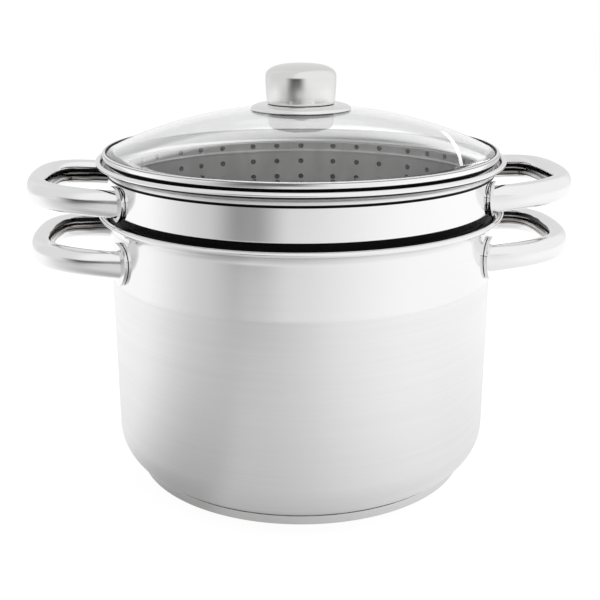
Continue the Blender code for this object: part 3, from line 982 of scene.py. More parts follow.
@dataclass
class HandleSet:
    """Two bent tube handles with a bracket at each of their ends."""

    prefix: str
    body: Body
    height: float
    rise: float
    fall: float
    wall_radius: float = 120.0 * MM
    spread: float = 50.0 * MM
    bend_reach: float = 162.2 * MM
    curve_share: float = 0.783
    tilt: float = math.radians(5.5)
    line_inset: float = 6.0 * MM
    tube_length: float = 170.0 * MM
    tube_height: float = 15.5 * MM
    tube_width: float = 12.5 * MM
    end_height: float = 16.2 * MM
    end_width: float = 9.0 * MM
    widening: float = 3.2
    tube_sides: int = 48
    squareness: float = 2.3
    section_lean: float = math.radians(2.0)
    stations: int = 56
    trim_depth: float = 0.8 * MM
    bracket_sheet: float = 2.0 * MM
    bracket_width: float = 23.0 * MM
    bracket_bevel: float = 0.9 * MM
    top_sag: float = 0.35
    bottom_rise: float = 0.7
    bottom_curve: float = 1.6
    side_depth: float = 0.96
    side_sharpness: int = 5
    side_curve: float = 0.45
    gap: float = 0.3 * MM

    def seat_radius(self) -> float:
        """Radius of the face that a tube's end meets."""
        return self.wall_radius + 2 * self.gap + self.bracket_sheet

    def start(self) -> float:
        """Distance out along X at which a tube's centre line starts."""
        return math.sqrt(self.seat_radius() ** 2 - self.spread ** 2)

    def fullness(self, share: float) -> float:
        """How far the tube has its full width, from 0 to 1, at a share of its length."""
        rise = min(1.0, self.widening * (1 - abs(2 * share - 1)))
        return rise * rise * (3 - 2 * rise)

    def section(self) -> Outline:
        """Outline of the tube at size 1: a full oval."""
        points, power = [], 2 / self.squareness
        for i in range(self.tube_sides):
            run, rise = math.cos(TURN * i / self.tube_sides), math.sin(TURN * i / self.tube_sides)
            points.append((math.copysign(0.5 * abs(run) ** power, run),
                           math.copysign(0.5 * abs(rise) ** power, rise)))
        return points

    def straight_tube(self, name: str) -> bpy.types.Object:
        """Extrude the section ring by ring along X, flattened sideways towards both ends.

        The attribute "lie" keeps where each point is in the straight tube: its share of the
        length, and how far it is sideways and up as a share of half the tube's size.
        """
        piece = draw_line(name, self.section(), closed=True)
        bpy.ops.object.mode_set(mode="OBJECT")
        piece.rotation_euler = (0.0, 0.0, math.pi / 2)
        bpy.ops.object.transform_apply(rotation=True)
        edit(piece)
        bpy.ops.mesh.edge_face_add()
        bpy.ops.transform.resize(value=(1.0, self.end_width, self.end_height))
        step = self.tube_length / self.stations
        width, height = self.end_width, self.end_height
        for i in range(1, self.stations + 1):
            full = self.fullness(i / self.stations)
            new_width = self.end_width + (self.tube_width - self.end_width) * full
            new_height = self.end_height + (self.tube_height - self.end_height) * full
            bpy.ops.mesh.extrude_region_move(TRANSFORM_OT_translate={"value": (step, 0.0, 0.0)})
            bpy.ops.transform.resize(value=(1.0, new_width / width, new_height / height),
                                     center_override=(step * i, 0.0, 0.0))
            width, height = new_width, new_height
        true_up(piece)
        lie = piece.data.attributes.new("lie", "FLOAT_VECTOR", "POINT")
        for vertex in piece.data.vertices:
            x, y, z = vertex.co
            lie.data[vertex.index].vector = (x / self.tube_length, 2 * y / self.tube_width,
                                             2 * z / self.tube_height)
        piece.rotation_euler = (self.section_lean, 0.0, 0.0)
        take_up(piece)
        bpy.ops.object.transform_apply(rotation=True)
        return piece

    def bend_line(self) -> bpy.types.Object:
        """Draw the centre line: straight out from the wall, round the end and back."""
        lay_down()
        bpy.ops.curve.primitive_bezier_curve_add()
        line = bpy.context.object
        line.data.dimensions = "3D"
        line.data.twist_mode = "Z_UP"
        line.data.resolution_u = 64
        line.data.use_stretch = True
        line.data.use_deform_bounds = True
        spline = line.data.splines[0]
        spline.bezier_points.add(1)
        start, across = self.start() - self.line_inset, self.curve_share * self.spread
        out = self.curve_share * (self.bend_reach - self.start()) + self.line_inset
        stops = (((start, -self.spread), (out, 0.0)), ((self.bend_reach, 0.0), (0.0, across)),
                 ((start, self.spread), (-out, 0.0)))
        for point, ((x, y), (lead_x, lead_y)) in zip(spline.bezier_points, stops):
            point.handle_left_type = point.handle_right_type = "FREE"
            point.co = (x, y, 0.0)
            point.handle_left = (x - lead_x, y - lead_y, 0.0)
            point.handle_right = (x + lead_x, y + lead_y, 0.0)
        return line

    def loop(self, name: str) -> bpy.types.Object:
        """Bend a tube along its line, tilt it up and trim its ends to the brackets."""
        piece = self.straight_tube(name)
        line = self.bend_line()
        shape(piece, "CURVE", object=line, deform_axis="POS_X")
        edit(piece)
        bpy.ops.transform.rotate(value=self.tilt, orient_axis="Y",
                                 center_override=(self.start(), 0.0, 0.0))
        bpy.ops.object.mode_set(mode="OBJECT")
        lay_down()
        trim_radius = self.seat_radius() - self.gap - self.trim_depth
        bpy.ops.mesh.primitive_cylinder_add(vertices=180, radius=trim_radius, depth=0.1)
        trim = bpy.context.object
        shape(piece, "BOOLEAN", object=trim, operation="DIFFERENCE", solver="EXACT")
        scrap(line, trim)
        true_up(piece)
        return smooth(piece)

    def plate_edges(self, share: float) -> tuple[float, float]:
        """Lowest and highest point of a bracket's shield shape at a share of half its width."""
        rounding = (1 - self.side_depth * abs(share) ** self.side_sharpness) ** self.side_curve
        middle = 0.5 * ((1 - self.top_sag) * self.rise - (1 - self.bottom_rise) * self.fall)
        top = self.rise * (1 - self.top_sag * share ** 2)
        bottom = -self.fall * (1 - self.bottom_rise * abs(share) ** self.bottom_curve)
        return middle + (bottom - middle) * rounding, middle + (top - middle) * rounding

    def plate(self, name: str) -> bpy.types.Object:
        """Shape a grid into a shield, thicken it, ease its edges and bend it to the wall."""
        columns, rows, half = 24, 14, self.bracket_width / 2
        lay_down()
        bpy.ops.mesh.primitive_grid_add(x_subdivisions=columns, y_subdivisions=rows,
                                        size=self.bracket_width, rotation=(math.pi / 2, 0.0, 0.0))
        piece = bpy.context.object
        piece.name = piece.data.name = name
        bpy.ops.object.transform_apply(rotation=True)
        edit(piece)
        near = 0.4 * self.bracket_width / columns
        for i in sorted(range(columns + 1), key=lambda i: -abs(2 * i - columns)):
            old = half * (2 * i / columns - 1)
            share = math.sin(math.pi / 2 * old / half)
            low, high = self.plate_edges(share)
            pick(piece, lambda place: abs(place.x - old) < near)
            bpy.ops.transform.resize(value=(1.0, 1.0, (high - low) / self.bracket_width),
                                     center_override=(old, 0.0, 0.0))
            bpy.ops.transform.translate(value=(half * share - old, 0.0, (high + low) / 2))
        bpy.ops.mesh.select_all(action="SELECT")
        bpy.ops.mesh.remove_doubles(threshold=MERGE_DISTANCE)
        bpy.ops.object.mode_set(mode="OBJECT")
        shape(piece, "SOLIDIFY", thickness=self.bracket_sheet, offset=1.0)
        shape(piece, "BEVEL", width=self.bracket_bevel, segments=4, limit_method="ANGLE",
              angle_limit=math.radians(50))
        inner = self.wall_radius + self.gap
        shape(piece, "SIMPLE_DEFORM", deform_method="BEND", deform_axis="Z",
              angle=self.bracket_width / inner)
        piece.location.y = -inner
        take_up(piece)
        bpy.ops.object.transform_apply(location=True)
        true_up(piece)
        return smooth(piece)

    def build(self, tube_steel: bpy.types.Material, plate_steel: bpy.types.Material) -> None:
        """Model one tube and one plate, and copy them to their places."""
        pattern_loop = self.loop(self.prefix + "_tube_pattern")
        pattern_plate = self.plate(self.prefix + "_plate_pattern")
        bracket_angle = math.asin(self.spread / self.seat_radius())
        for side in Side:
            word = side.name.lower()
            tube = copy_piece(pattern_loop, f"{self.prefix}_{word}_bent_tube", self.height,
                              side.value)
            fit(tube, f"{self.prefix}_handle_{word}", self.body, tube_steel)
            for end in End:
                sign = end.value if side is Side.RIGHT else -end.value
                heading = math.pi / 2 + side.value + sign * bracket_angle
                corner = f"{word}_{end.name.lower()}"
                plate = copy_piece(pattern_plate, f"{self.prefix}_{corner}_plate", self.height,
                                   heading)
                fit(plate, f"{self.prefix}_bracket_{corner}", self.body,
                    plate_steel)
        scrap(pattern_loop, pattern_plate)


@dataclass
class PotBody:
    """Spun pot on its sandwich base."""

    radius: float = 120.0 * MM
    height: float = 169.4 * MM
    sheet: float = 0.9 * MM
    corner_radius: float = 25.0 * MM
    gap: float = 0.3 * MM
    base_radius: float = 107.0 * MM
    base_sheet: float = 0.6 * MM
    base_edge: float = 1.4 * MM
    base_lip: float = 0.5 * MM
    base_lip_edge: float = 0.15 * MM
    core_thickness: float = 2.2 * MM
    handle_drop: float = 25.2 * MM
    bracket_rise: float = 13.0 * MM
    bracket_fall: float = 13.0 * MM
    mouth: Mouth = field(default_factory=Mouth)

    def underside(self) -> float:
        """Height of the pot floor's lower face."""
        return self.base_sheet + self.core_thickness + 2 * self.gap

    def body_line(self) -> float:
        """Height at which the wall turns into the flare."""
        return self.height - self.mouth.height()

    def corner(self) -> tuple[float, float]:
        """Centre of the rounded bottom corner."""
        return self.radius - self.corner_radius, self.underside() + self.corner_radius

    def wall(self) -> bpy.types.Object:
        """Turn the pot: floor, rounded corner, straight wall and flared mouth."""
        down, underside, floor = -math.pi / 2, self.underside(), self.underside() + self.sheet
        points = [(0.0, floor), (0.5 * self.radius, floor)]
        points += arc(self.corner(), self.corner_radius - self.sheet, down, 0.0, 14)
        points += self.mouth.outline(self.body_line(), self.sheet)
        points += arc(self.corner(), self.corner_radius, 0.0, down, 18)
        points += [(0.5 * self.radius, underside), (0.0, underside)]
        return turn("pot_spun_body", points)

    def base(self) -> bpy.types.Object:
        """Turn the dish that closes the base."""
        centre = self.corner()
        bore = self.base_radius - self.base_sheet
        reach = self.corner_radius + self.gap
        top = centre[1] - math.sqrt(reach ** 2 - (bore - centre[0]) ** 2)
        edge, sheet, lip = self.base_edge, self.base_sheet, top - self.base_lip
        points = [(0.0, sheet), (0.6 * bore, sheet)]
        points += arc((bore - edge, sheet + edge), edge, -math.pi / 2, 0.0, 6)
        points += eased([(bore, lip), (bore, top), (self.base_radius, top),
                         (self.base_radius, lip)], self.base_lip_edge, 3)
        points += arc((self.base_radius - edge, edge), edge, 0.0, -math.pi / 2, 8)
        points += [(0.6 * bore, 0.0), (0.0, 0.0)]
        return turn("base_pressed_dish", points)

    def build(self, frame: dict, finishes: dict) -> None:
        """Build the pot's pieces, and finish the core that stays as it is."""
        fit(self.wall(), "pot_shell", Body.POT, finishes["wall"])
        fit(self.base(), "base_cap", Body.POT, finishes["satin"])
        dress(frame["nodes"]["base_core"], finishes["aluminium"])
        handles = HandleSet("pot", Body.POT, height=self.height - self.handle_drop,
                            rise=self.bracket_rise, fall=self.bracket_fall)
        handles.build(finishes["pot_handle"], finishes["mirror"])


@dataclass
class StrainerInsert:
    """Polished collar with a drilled strainer inside it and its own handles."""

    radius: float = 120.0 * MM
    sheet: float = 0.8 * MM
    pot_sheet: float = 0.9 * MM
    band_height: float = 26.7 * MM
    band_corner: float = 2.5 * MM
    band_drop: float = 18.9 * MM
    waist_depth: float = 2.3 * MM
    waist_lead: float = 0.5 * MM
    waist_foot: Span = (2.6 * MM, 1.7 * MM)
    inner_waist_head: Span = (0.9 * MM, 3.0 * MM)
    inner_waist_foot: Span = (2.0 * MM, 1.2 * MM)
    band_edge: float = 0.5 * MM
    groove_height: float = 0.8 * MM
    groove_depth: float = 0.35 * MM
    groove_lip: float = 0.06 * MM
    basket_step: float = 5.6 * MM
    basket_sheet: float = 0.7 * MM
    basket_depth: float = 118.0 * MM
    basket_corner: float = 18.0 * MM
    ledge_rise: float = 2.0 * MM
    ledge_edge: float = 0.6 * MM
    gap: float = 0.3 * MM
    ridge_drop: float = 4.0 * MM
    ridge_height: float = 3.2 * MM
    ridge_steps: int = 8
    ridge_depth: float = 0.45 * MM
    hole_radius: float = 1.65 * MM
    hole_flare: float = 0.35 * MM
    hole_sides: int = 16
    hole_groups: int = 12
    group_columns: int = 3
    column_angle: float = math.radians(9.0)
    group_phase: float = math.radians(5.0)
    first_row_drop: float = 3.1 * MM
    row_pitch: float = 11.66 * MM
    last_row_rise: float = 12.0 * MM
    floor_rings: int = 2
    floor_ring_pitch: float = 34.0 * MM
    floor_ring_holes: int = 6
    floor_phase: float = math.radians(5.0)
    handle_drop: float = 20.3 * MM
    bracket_rise: float = 10.4 * MM
    bracket_fall: float = 10.8 * MM
    pot: PotBody = field(default_factory=PotBody)
    mouth: Mouth = field(default_factory=Mouth)

    def band_bottom(self) -> float:
        """Height of the centre of the collar's lower corner, where it rests in the pot's flare."""
        reach = self.mouth.cove_radius + self.pot_sheet + self.gap + self.band_corner
        return self.pot.body_line() + math.sqrt(
            reach ** 2 - (self.mouth.cove_radius + self.band_corner) ** 2)

    def body_line(self) -> float:
        """Height at which the band turns into the flare."""
        return self.band_bottom() + self.band_height

    def top(self) -> float:
        """Height of the insert's lip."""
        return self.body_line() + self.mouth.height()

    def basket_radius(self) -> float:
        """Outer radius of the strainer's wall."""
        return self.radius - self.basket_step

    def basket_underside(self) -> float:
        """Height of the strainer floor's lower face."""
        return self.top() - self.basket_depth

    def top_row(self) -> float:
        """Height of the highest row of holes."""
        return self.body_line() + self.ledge_rise - self.first_row_drop

    def collar(self) -> bpy.types.Object:
        """Turn the band: flared mouth, seam groove, waist above the foot, and the foot."""
        line, radius, sheet, low = self.body_line(), self.radius, self.sheet, self.band_bottom()
        centre, inner_face = (radius - self.band_corner, low), radius - sheet
        bore, foot = self.basket_radius() + self.gap, low - self.band_corner
        edge, waist = line - self.band_drop, radius - self.waist_depth
        groove_top = line + self.groove_height
        points = [(r, z) for r, z in self.mouth.outline(line, sheet, slit=True)
                  if r < radius - 0.5 * sheet or z > groove_top]
        points += [(radius + self.groove_lip, groove_top),
                   (radius - self.groove_depth, line + 0.5 * self.groove_height), (radius, line)]
        waist_low, waist_end = (low + rise for rise in self.waist_foot)
        points += eased([(radius, line - MM), (radius, edge), (waist, edge - self.waist_lead),
                         (waist, waist_low), (radius, waist_end), (radius, low)],
                        self.band_edge, 4)
        points += arc(centre, self.band_corner, 0.0, -math.pi / 2, 8)[1:]
        points += [(bore, foot), (bore, foot + sheet)]
        points += arc(centre, self.band_corner - sheet, -math.pi / 2, 0.0, 6)[:-1]
        waist_low, waist_end = (low + rise for rise in self.inner_waist_foot)
        waist_high, head = (edge + rise for rise in self.inner_waist_head)
        points += eased([(inner_face, low), (inner_face, waist_end), (waist - sheet, waist_low),
                         (waist - sheet, edge), (inner_face, waist_high), (inner_face, head)],
                        self.band_edge, 4)
        return turn("insert_spun_collar", points, closed=True)

    def drain_holes(self) -> bpy.types.Object:
        """Model one drill with a waist, and copy it to every hole of the wall and the floor.

        Each stop is a place along the drill, in sheet thicknesses from the sheet's middle, and
        how many flares the drill is wider there than the hole.
        """
        thick, middle = self.basket_sheet, self.basket_radius() - self.basket_sheet / 2
        stops = ((-2.4, 3.2), (-0.5, 1.0), (-0.18, 0.0), (0.18, 0.0), (0.5, 1.0), (2.4, 3.2))
        lay_down()
        bpy.ops.mesh.primitive_circle_add(vertices=self.hole_sides, radius=1.0, fill_type="NGON",
                                          rotation=(0.0, math.pi / 2, 0.0))
        drill = bpy.context.object
        drill.name = drill.data.name = "drain_drill"
        bpy.ops.object.transform_apply(rotation=True)
        edit(drill)
        reach = [self.hole_radius + self.hole_flare * flare for _, flare in stops]
        bpy.ops.transform.resize(value=(1.0, reach[0], reach[0]))
        for (before, _), (after, _), small, large in zip(stops, stops[1:], reach, reach[1:]):
            run = (after - before) * thick
            bpy.ops.mesh.extrude_region_move(TRANSFORM_OT_translate={"value": (run, 0.0, 0.0)})
            bpy.ops.transform.resize(value=(1.0, large / small, large / small),
                                     center_override=(0.0, 0.0, 0.0))
        bpy.ops.mesh.select_all(action="SELECT")
        bpy.ops.mesh.normals_make_consistent(inside=False)
        bpy.ops.transform.translate(value=(middle + stops[0][0] * thick, 0.0, self.top_row()))
        bpy.ops.object.mode_set(mode="OBJECT")
        rings = [self.floor_drills(drill, ring) for ring in range(1, self.floor_rings + 1)]
        wall = self.wall_drills(drill)
        scrap(drill)
        lay_down()
        for piece in (wall, *rings):
            piece.select_set(True)
        bpy.context.view_layer.objects.active = wall
        bpy.ops.object.join()
        lay_down()
        return wall

    def wall_drills(self, drill: bpy.types.Object) -> bpy.types.Object:
        """Copy a drill, at the top row on the X axis, down and round the wall."""
        first = self.group_phase - self.column_angle * (self.group_columns - 1) / 2
        column = copy_piece(drill, "drill_column")
        edit(column)
        rows = int((self.top_row() - self.basket_underside() - self.basket_corner
                    - self.last_row_rise) / self.row_pitch) + 1
        for _ in range(rows - 1):
            bpy.ops.mesh.duplicate_move(
                TRANSFORM_OT_translate={"value": (0.0, 0.0, -self.row_pitch)})
        bpy.ops.object.mode_set(mode="OBJECT")
        wall = copy_piece(column, "wall_drills", heading=first)
        scrap(column)
        group_angle = self.column_angle * (self.group_columns - 1)
        for copies, angle in ((self.group_columns - 1, group_angle),
                              (self.hole_groups - 1, TURN * (1 - 1 / self.hole_groups))):
            edit(wall)
            bpy.ops.mesh.spin(steps=copies, dupli=True, angle=-angle, center=ORIGIN, axis=UPRIGHT)
        lay_down()
        return wall

    def floor_drills(self, drill: bpy.types.Object, ring: int) -> bpy.types.Object:
        """Copy a drill to one ring of the floor.

        Args:
            drill: the drill at the top row on the X axis.
            ring: the ring's number, counted from the middle of the floor.

        Returns:
            The ring's drills.
        """
        holes, thick = self.floor_ring_holes * ring, self.basket_sheet
        first = copy_piece(drill, f"floor_drill_{ring}")
        edit(first)
        middle = (self.basket_radius() - thick / 2, 0.0, self.top_row())
        bpy.ops.transform.rotate(value=math.pi / 2, orient_axis="Y", center_override=middle)
        bpy.ops.transform.translate(value=(ring * self.floor_ring_pitch - middle[0], 0.0,
                                           self.basket_underside() + thick / 2 - middle[2]))
        bpy.ops.object.mode_set(mode="OBJECT")
        piece = copy_piece(first, f"floor_ring_{ring}", heading=self.floor_phase)
        scrap(first)
        edit(piece)
        bpy.ops.mesh.spin(steps=holes - 1, dupli=True, angle=TURN * (1 - 1 / holes),
                          center=ORIGIN, axis=UPRIGHT)
        lay_down()
        return piece

    def basket(self) -> bpy.types.Object:
        """Turn the strainer and drill its wall and floor."""
        radius, thick = self.basket_radius(), self.basket_sheet
        centre = (radius - self.basket_corner, self.basket_underside() + self.basket_corner)
        ledge_top = self.body_line() + self.ledge_rise
        reach = self.mouth.cove_radius + self.sheet + self.gap
        ledge_radius = (self.radius + self.mouth.cove_radius
                        - math.sqrt(reach ** 2 - (self.ledge_rise - thick) ** 2))
        down, underside = -math.pi / 2, self.basket_underside()
        points = [(0.0, underside + thick), (0.5 * radius, underside + thick)]
        points += arc(centre, self.basket_corner - thick, down, 0.0, 12)
        ridge = self.top_row() - self.ridge_drop
        shares = [step / self.ridge_steps for step in range(self.ridge_steps + 1)]
        points += [(radius - thick - self.ridge_depth * math.sin(math.pi * share) ** 2,
                    ridge + self.ridge_height * (share - 0.5)) for share in shares]
        points += eased([(radius - thick, ledge_top - 1.2 * MM), (radius - thick, ledge_top),
                         (ledge_radius, ledge_top), (ledge_radius, ledge_top - thick),
                         (radius, ledge_top - thick), (radius, ledge_top - 3 * MM)],
                        self.ledge_edge, 4)
        points += arc(centre, self.basket_corner, 0.0, down, 14)
        points += [(0.5 * radius, underside), (0.0, underside)]
        piece = turn("strainer_drilled_basket", points, steps=180)
        drills = self.drain_holes()
        shape(piece, "BOOLEAN", object=drills, operation="DIFFERENCE", solver="EXACT")
        scrap(drills)
        return smooth(piece)

    def build(self, finishes: dict) -> None:
        """Build the insert's pieces."""
        fit(self.collar(), "insert_collar", Body.INSERT, finishes["collar"])
        fit(self.basket(), "strainer_basket", Body.INSERT, finishes["basket"])
        handles = HandleSet("insert", Body.INSERT, height=self.top() - self.handle_drop,
                            rise=self.bracket_rise, fall=self.bracket_fall)
        handles.build(finishes["insert_handle"], finishes["mirror"])


@dataclass
class GlassLid:
    """Domed glass in a folded steel ring, with the fixings of its knob."""

    insert: StrainerInsert = field(default_factory=StrainerInsert)
    skirt_radius: float = 120.2 * MM
    ring_step: float = 2.1 * MM
    ring_lift: float = 0.75 * MM
    ring_height: float = 3.8 * MM
    ring_sheet: float = 0.5 * MM
    ring_lap: float = 2.4 * MM
    gap: float = 0.3 * MM
    dome_rise: float = 25.0 * MM
    dome_power: float = 2.2
    glass_thickness: float = 3.2 * MM
    glass_bore: float = 4.2 * MM
    glass_land: float = 2.6 * MM
    glass_edge: float = 0.7 * MM
    glass_steps: int = 30
    glass_crowding: float = 0.85
    gasket_radius: float = 15.0 * MM
    gasket_thickness: float = 1.0 * MM
    washer_radius: float = 20.0 * MM
    washer_thickness: float = 1.5 * MM
    screw_radius: float = 2.4 * MM
    head_radius: float = 4.8 * MM
    head_height: float = 2.6 * MM
    screw_grip: float = 12.0 * MM
    slot_size: Place = (5.0 * MM, 1.0 * MM, 2.0 * MM)
    flange_radius: float = 31.2 * MM
    flange_sheet: float = 0.8 * MM
    flange_lift: float = 0.1 * MM
    flange_curve: float = 3.4
    flange_steps: int = 20
    knob_base: float = 19.8 * MM
    knob_foot: float = 20.85 * MM
    knob_radius: float = 21.8 * MM
    knob_side: float = 15.5 * MM
    knob_dome: float = 8.38 * MM
    knob_squareness: float = 2.6
    dome_steps: int = 18
    side_steps: int = 10
    knob_sheet: float = 0.8 * MM

    def ring_bottom(self) -> float:
        """Height of the ring's lower face, just above the insert's lip."""
        return self.insert.top() + self.ring_lift

    def ring_top(self) -> float:
        """Height of the ring's upper face."""
        return self.ring_bottom() + self.ring_height

    def ring_radius(self) -> float:
        """Outer radius of the ring."""
        return self.skirt_radius + self.ring_step

    def edge_radius(self) -> float:
        """Radius at which the dome meets the flat edge under the ring."""
        return self.ring_radius() - self.ring_lap - self.gap

    def edge_top(self) -> float:
        """Height of the upper face of the glass edge."""
        return self.ring_top() - self.ring_sheet - self.gap

    def edge_bottom(self) -> float:
        """Height of the lower face of the glass edge."""
        return self.ring_bottom() + self.ring_sheet + self.gap

    def top_height(self, radius: float) -> float:
        """Height of the dome's upper face at a distance from the axis."""
        share = radius / self.edge_radius()
        return self.edge_top() + self.dome_rise * (1 - share ** self.dome_power)

    def under_height(self, radius: float) -> float:
        """Height of the dome's lower face at a distance from the axis."""
        share = radius / (self.edge_radius() - self.glass_land)
        rise = self.edge_top() + self.dome_rise - self.glass_thickness - self.edge_bottom()
        return self.edge_bottom() + rise * (1 - share ** self.dome_power)

    def glass(self) -> bpy.types.Object:
        """Turn the dome with its ground edge and centre hole."""
        bore, outer = self.glass_bore, self.edge_radius()
        inner = outer - self.glass_land
        shares = [(i / self.glass_steps) ** self.glass_crowding
                  for i in range(self.glass_steps + 1)]
        over = [bore + (outer - bore) * share for share in shares]
        under = [bore + (inner - bore) * share for share in shares]
        edge, top, bottom = (self.ring_radius() - self.ring_sheet - self.gap, self.edge_top(),
                             self.edge_bottom())
        points = [(r, self.top_height(r)) for r in over]
        points += eased([(outer + 0.5 * MM, top), (edge, top), (edge, bottom),
                         (inner + MM, bottom)], self.glass_edge, 5)
        points += [(r, self.under_height(r)) for r in reversed(under)]
        return turn("lid_domed_glass", points, closed=True)

    def ring(self) -> bpy.types.Object:
        """Turn the folded ring and its skirt."""
        inner, sheet = self.skirt_radius - self.ring_sheet, self.ring_sheet
        reach = self.insert.mouth.cove_radius + self.insert.sheet + self.gap
        drop = self.insert.mouth.cove_radius - (self.skirt_radius - self.insert.radius)
        skirt = self.insert.body_line() + math.sqrt(reach ** 2 - drop ** 2)
        outer, bottom, top = self.ring_radius(), self.ring_bottom(), self.ring_top()
        bore = outer - self.ring_lap
        outside = eased([(bore, top), (outer, top), (outer, bottom), (self.skirt_radius, bottom),
                         (self.skirt_radius, skirt)], 0.9 * MM, 7)
        inside = eased([(inner, skirt), (inner, bottom + sheet), (outer - sheet, bottom + sheet),
                        (outer - sheet, top - sheet), (bore, top - sheet)], 0.4 * MM, 5)
        return turn("lid_folded_ring", outside + inside, closed=True)

    def knob_bottom(self) -> float:
        """Height of the knob's lower edge."""
        return self.hub_underside() + self.flange_sheet + self.gap

    def hub_underside(self) -> float:
        """Height of the flange's lower face at its hub."""
        return self.edge_top() + self.dome_rise + 2 * self.gap + self.gasket_thickness

    def knob_outline(self, inset: float) -> Outline:
        """Knob's dome and side from the top centre down, drawn in by a wall or a gap."""
        side_top, power = self.knob_bottom() + self.knob_side, 2 / self.knob_squareness
        points = [(0.0, side_top + self.knob_dome - inset)]
        for i in range(1, self.dome_steps):
            a = math.pi / 2 * (1 - i / self.dome_steps)
            points.append(((self.knob_radius - inset) * math.cos(a) ** power,
                           side_top + (self.knob_dome - inset) * math.sin(a) ** power))
        for i in range(self.side_steps + 1):
            share = 1 - i / self.side_steps
            bulge = (self.knob_radius - self.knob_foot) * math.sin(math.pi / 2 * share)
            points.append((self.knob_foot + bulge - inset,
                           self.knob_bottom() + self.knob_side * share))
        return points

    def knob_cap(self) -> bpy.types.Object:
        """Turn the knob's thin cup."""
        outside, inside = self.knob_outline(0.0), self.knob_outline(self.knob_sheet)
        lip = eased([outside[-2], outside[-1], inside[-1], inside[-2]], 0.3 * MM, 4)
        return turn("knob_satin_cup", outside[:-1] + lip[1:-1] + inside[:-1][::-1], steps=96)

    def knob_core(self) -> bpy.types.Object:
        """Turn the moulded plug with its blind bore."""
        bore = self.screw_radius + self.gap
        bore_top = self.knob_bottom() + self.screw_grip + 2 * self.gap
        points = self.knob_outline(self.knob_sheet + self.gap)
        points += [(bore, self.knob_bottom()), (bore, bore_top), (0.0, bore_top)]
        return turn("knob_moulded_plug", points, steps=96)

    def flange(self) -> bpy.types.Object:
        """Turn the spun saucer under the knob."""
        sheet, rim = self.flange_sheet, self.flange_radius
        low, high = self.top_height(rim - sheet) + self.flange_lift, self.hub_underside()
        edge, start = low + sheet / 2, self.knob_base - MM
        runs = [math.sin(math.pi / 2 * i / self.flange_steps) for i in range(self.flange_steps + 1)]
        slope = [(run, (1 - run ** self.flange_curve) ** 0.5) for run in runs]
        over = [(start + (rim - start) * s, edge + (high + sheet - edge) * h) for s, h in slope]
        under = [(start + (rim - sheet - start) * s, edge + (high - edge) * h) for s, h in slope]
        lip = arc((rim - sheet / 2, edge), sheet / 2, 0.0, -math.pi, 8)
        bore = self.screw_radius + self.gap
        points = [(bore, high + sheet)] + over[:-1] + lip + under[:-1][::-1] + [(bore, high)]
        return turn("knob_spun_saucer", points, closed=True, steps=128)

    def disc(self, name: str, radius: float, top: float, thickness: float) -> bpy.types.Object:
        """Turn a gasket or a washer with eased edges."""
        bore = self.screw_radius + self.gap
        corners = [(bore, top), (radius, top), (radius, top - thickness), (bore, top - thickness)]
        return turn(name, eased(corners, 0.3 * MM, 3, closed=True), closed=True, steps=72)

    def screw(self, head_top: float) -> bpy.types.Object:
        """Turn the screw and cut the cross in its head."""
        low = head_top - self.head_height
        head = eased([(self.screw_radius, head_top), (self.head_radius, head_top),
                      (self.head_radius, head_top - 0.5 * self.head_height), (0.0, low)],
                     1.2 * MM, 6)
        points = [(0.0, self.knob_bottom() + self.screw_grip),
                  (self.screw_radius, self.knob_bottom() + self.screw_grip)]
        piece = turn("lid_cross_screw", points + head, steps=48)
        for heading in (0.0, math.pi / 2):
            lay_down()
            bpy.ops.mesh.primitive_cube_add(size=1.0, location=(0.0, 0.0, low),
                                            rotation=(0.0, 0.0, heading), scale=self.slot_size)
            slot = bpy.context.object
            shape(piece, "BOOLEAN", object=slot, operation="DIFFERENCE", solver="EXACT")
            scrap(slot)
        return smooth(piece)

    def build(self, finishes: dict) -> None:
        """Build the lid's pieces."""
        body, dome_top = Body.LID, self.edge_top() + self.dome_rise
        fit(self.glass(), "lid_glass", body, finishes["glass"])
        fit(self.ring(), "lid_ring", body, finishes["ring"])
        fit(self.knob_cap(), "knob_cap", body, finishes["knob"])
        fit(self.knob_core(), "knob_core", body, finishes["plastic"])
        fit(self.flange(), "knob_flange", body, finishes["saucer"])
        upper = dome_top + self.gap + self.gasket_thickness
        lower = self.under_height(self.gasket_radius) - self.gap
        for name, node, top in (("knob_seal", "knob_gasket", upper),
                                ("lower_seal", "lower_gasket", lower)):
            seal = self.disc(name, self.gasket_radius, top, self.gasket_thickness)
            fit(seal, node, body, finishes["silicone"])
        washer = lower - self.gasket_thickness - self.gap
        fit(self.disc("lid_steel_washer", self.washer_radius, washer, self.washer_thickness),
            "lid_washer", body, finishes["washer"])
        fit(self.screw(washer - self.washer_thickness - self.gap), "lid_screw", body,
            finishes["satin"])


# Studio


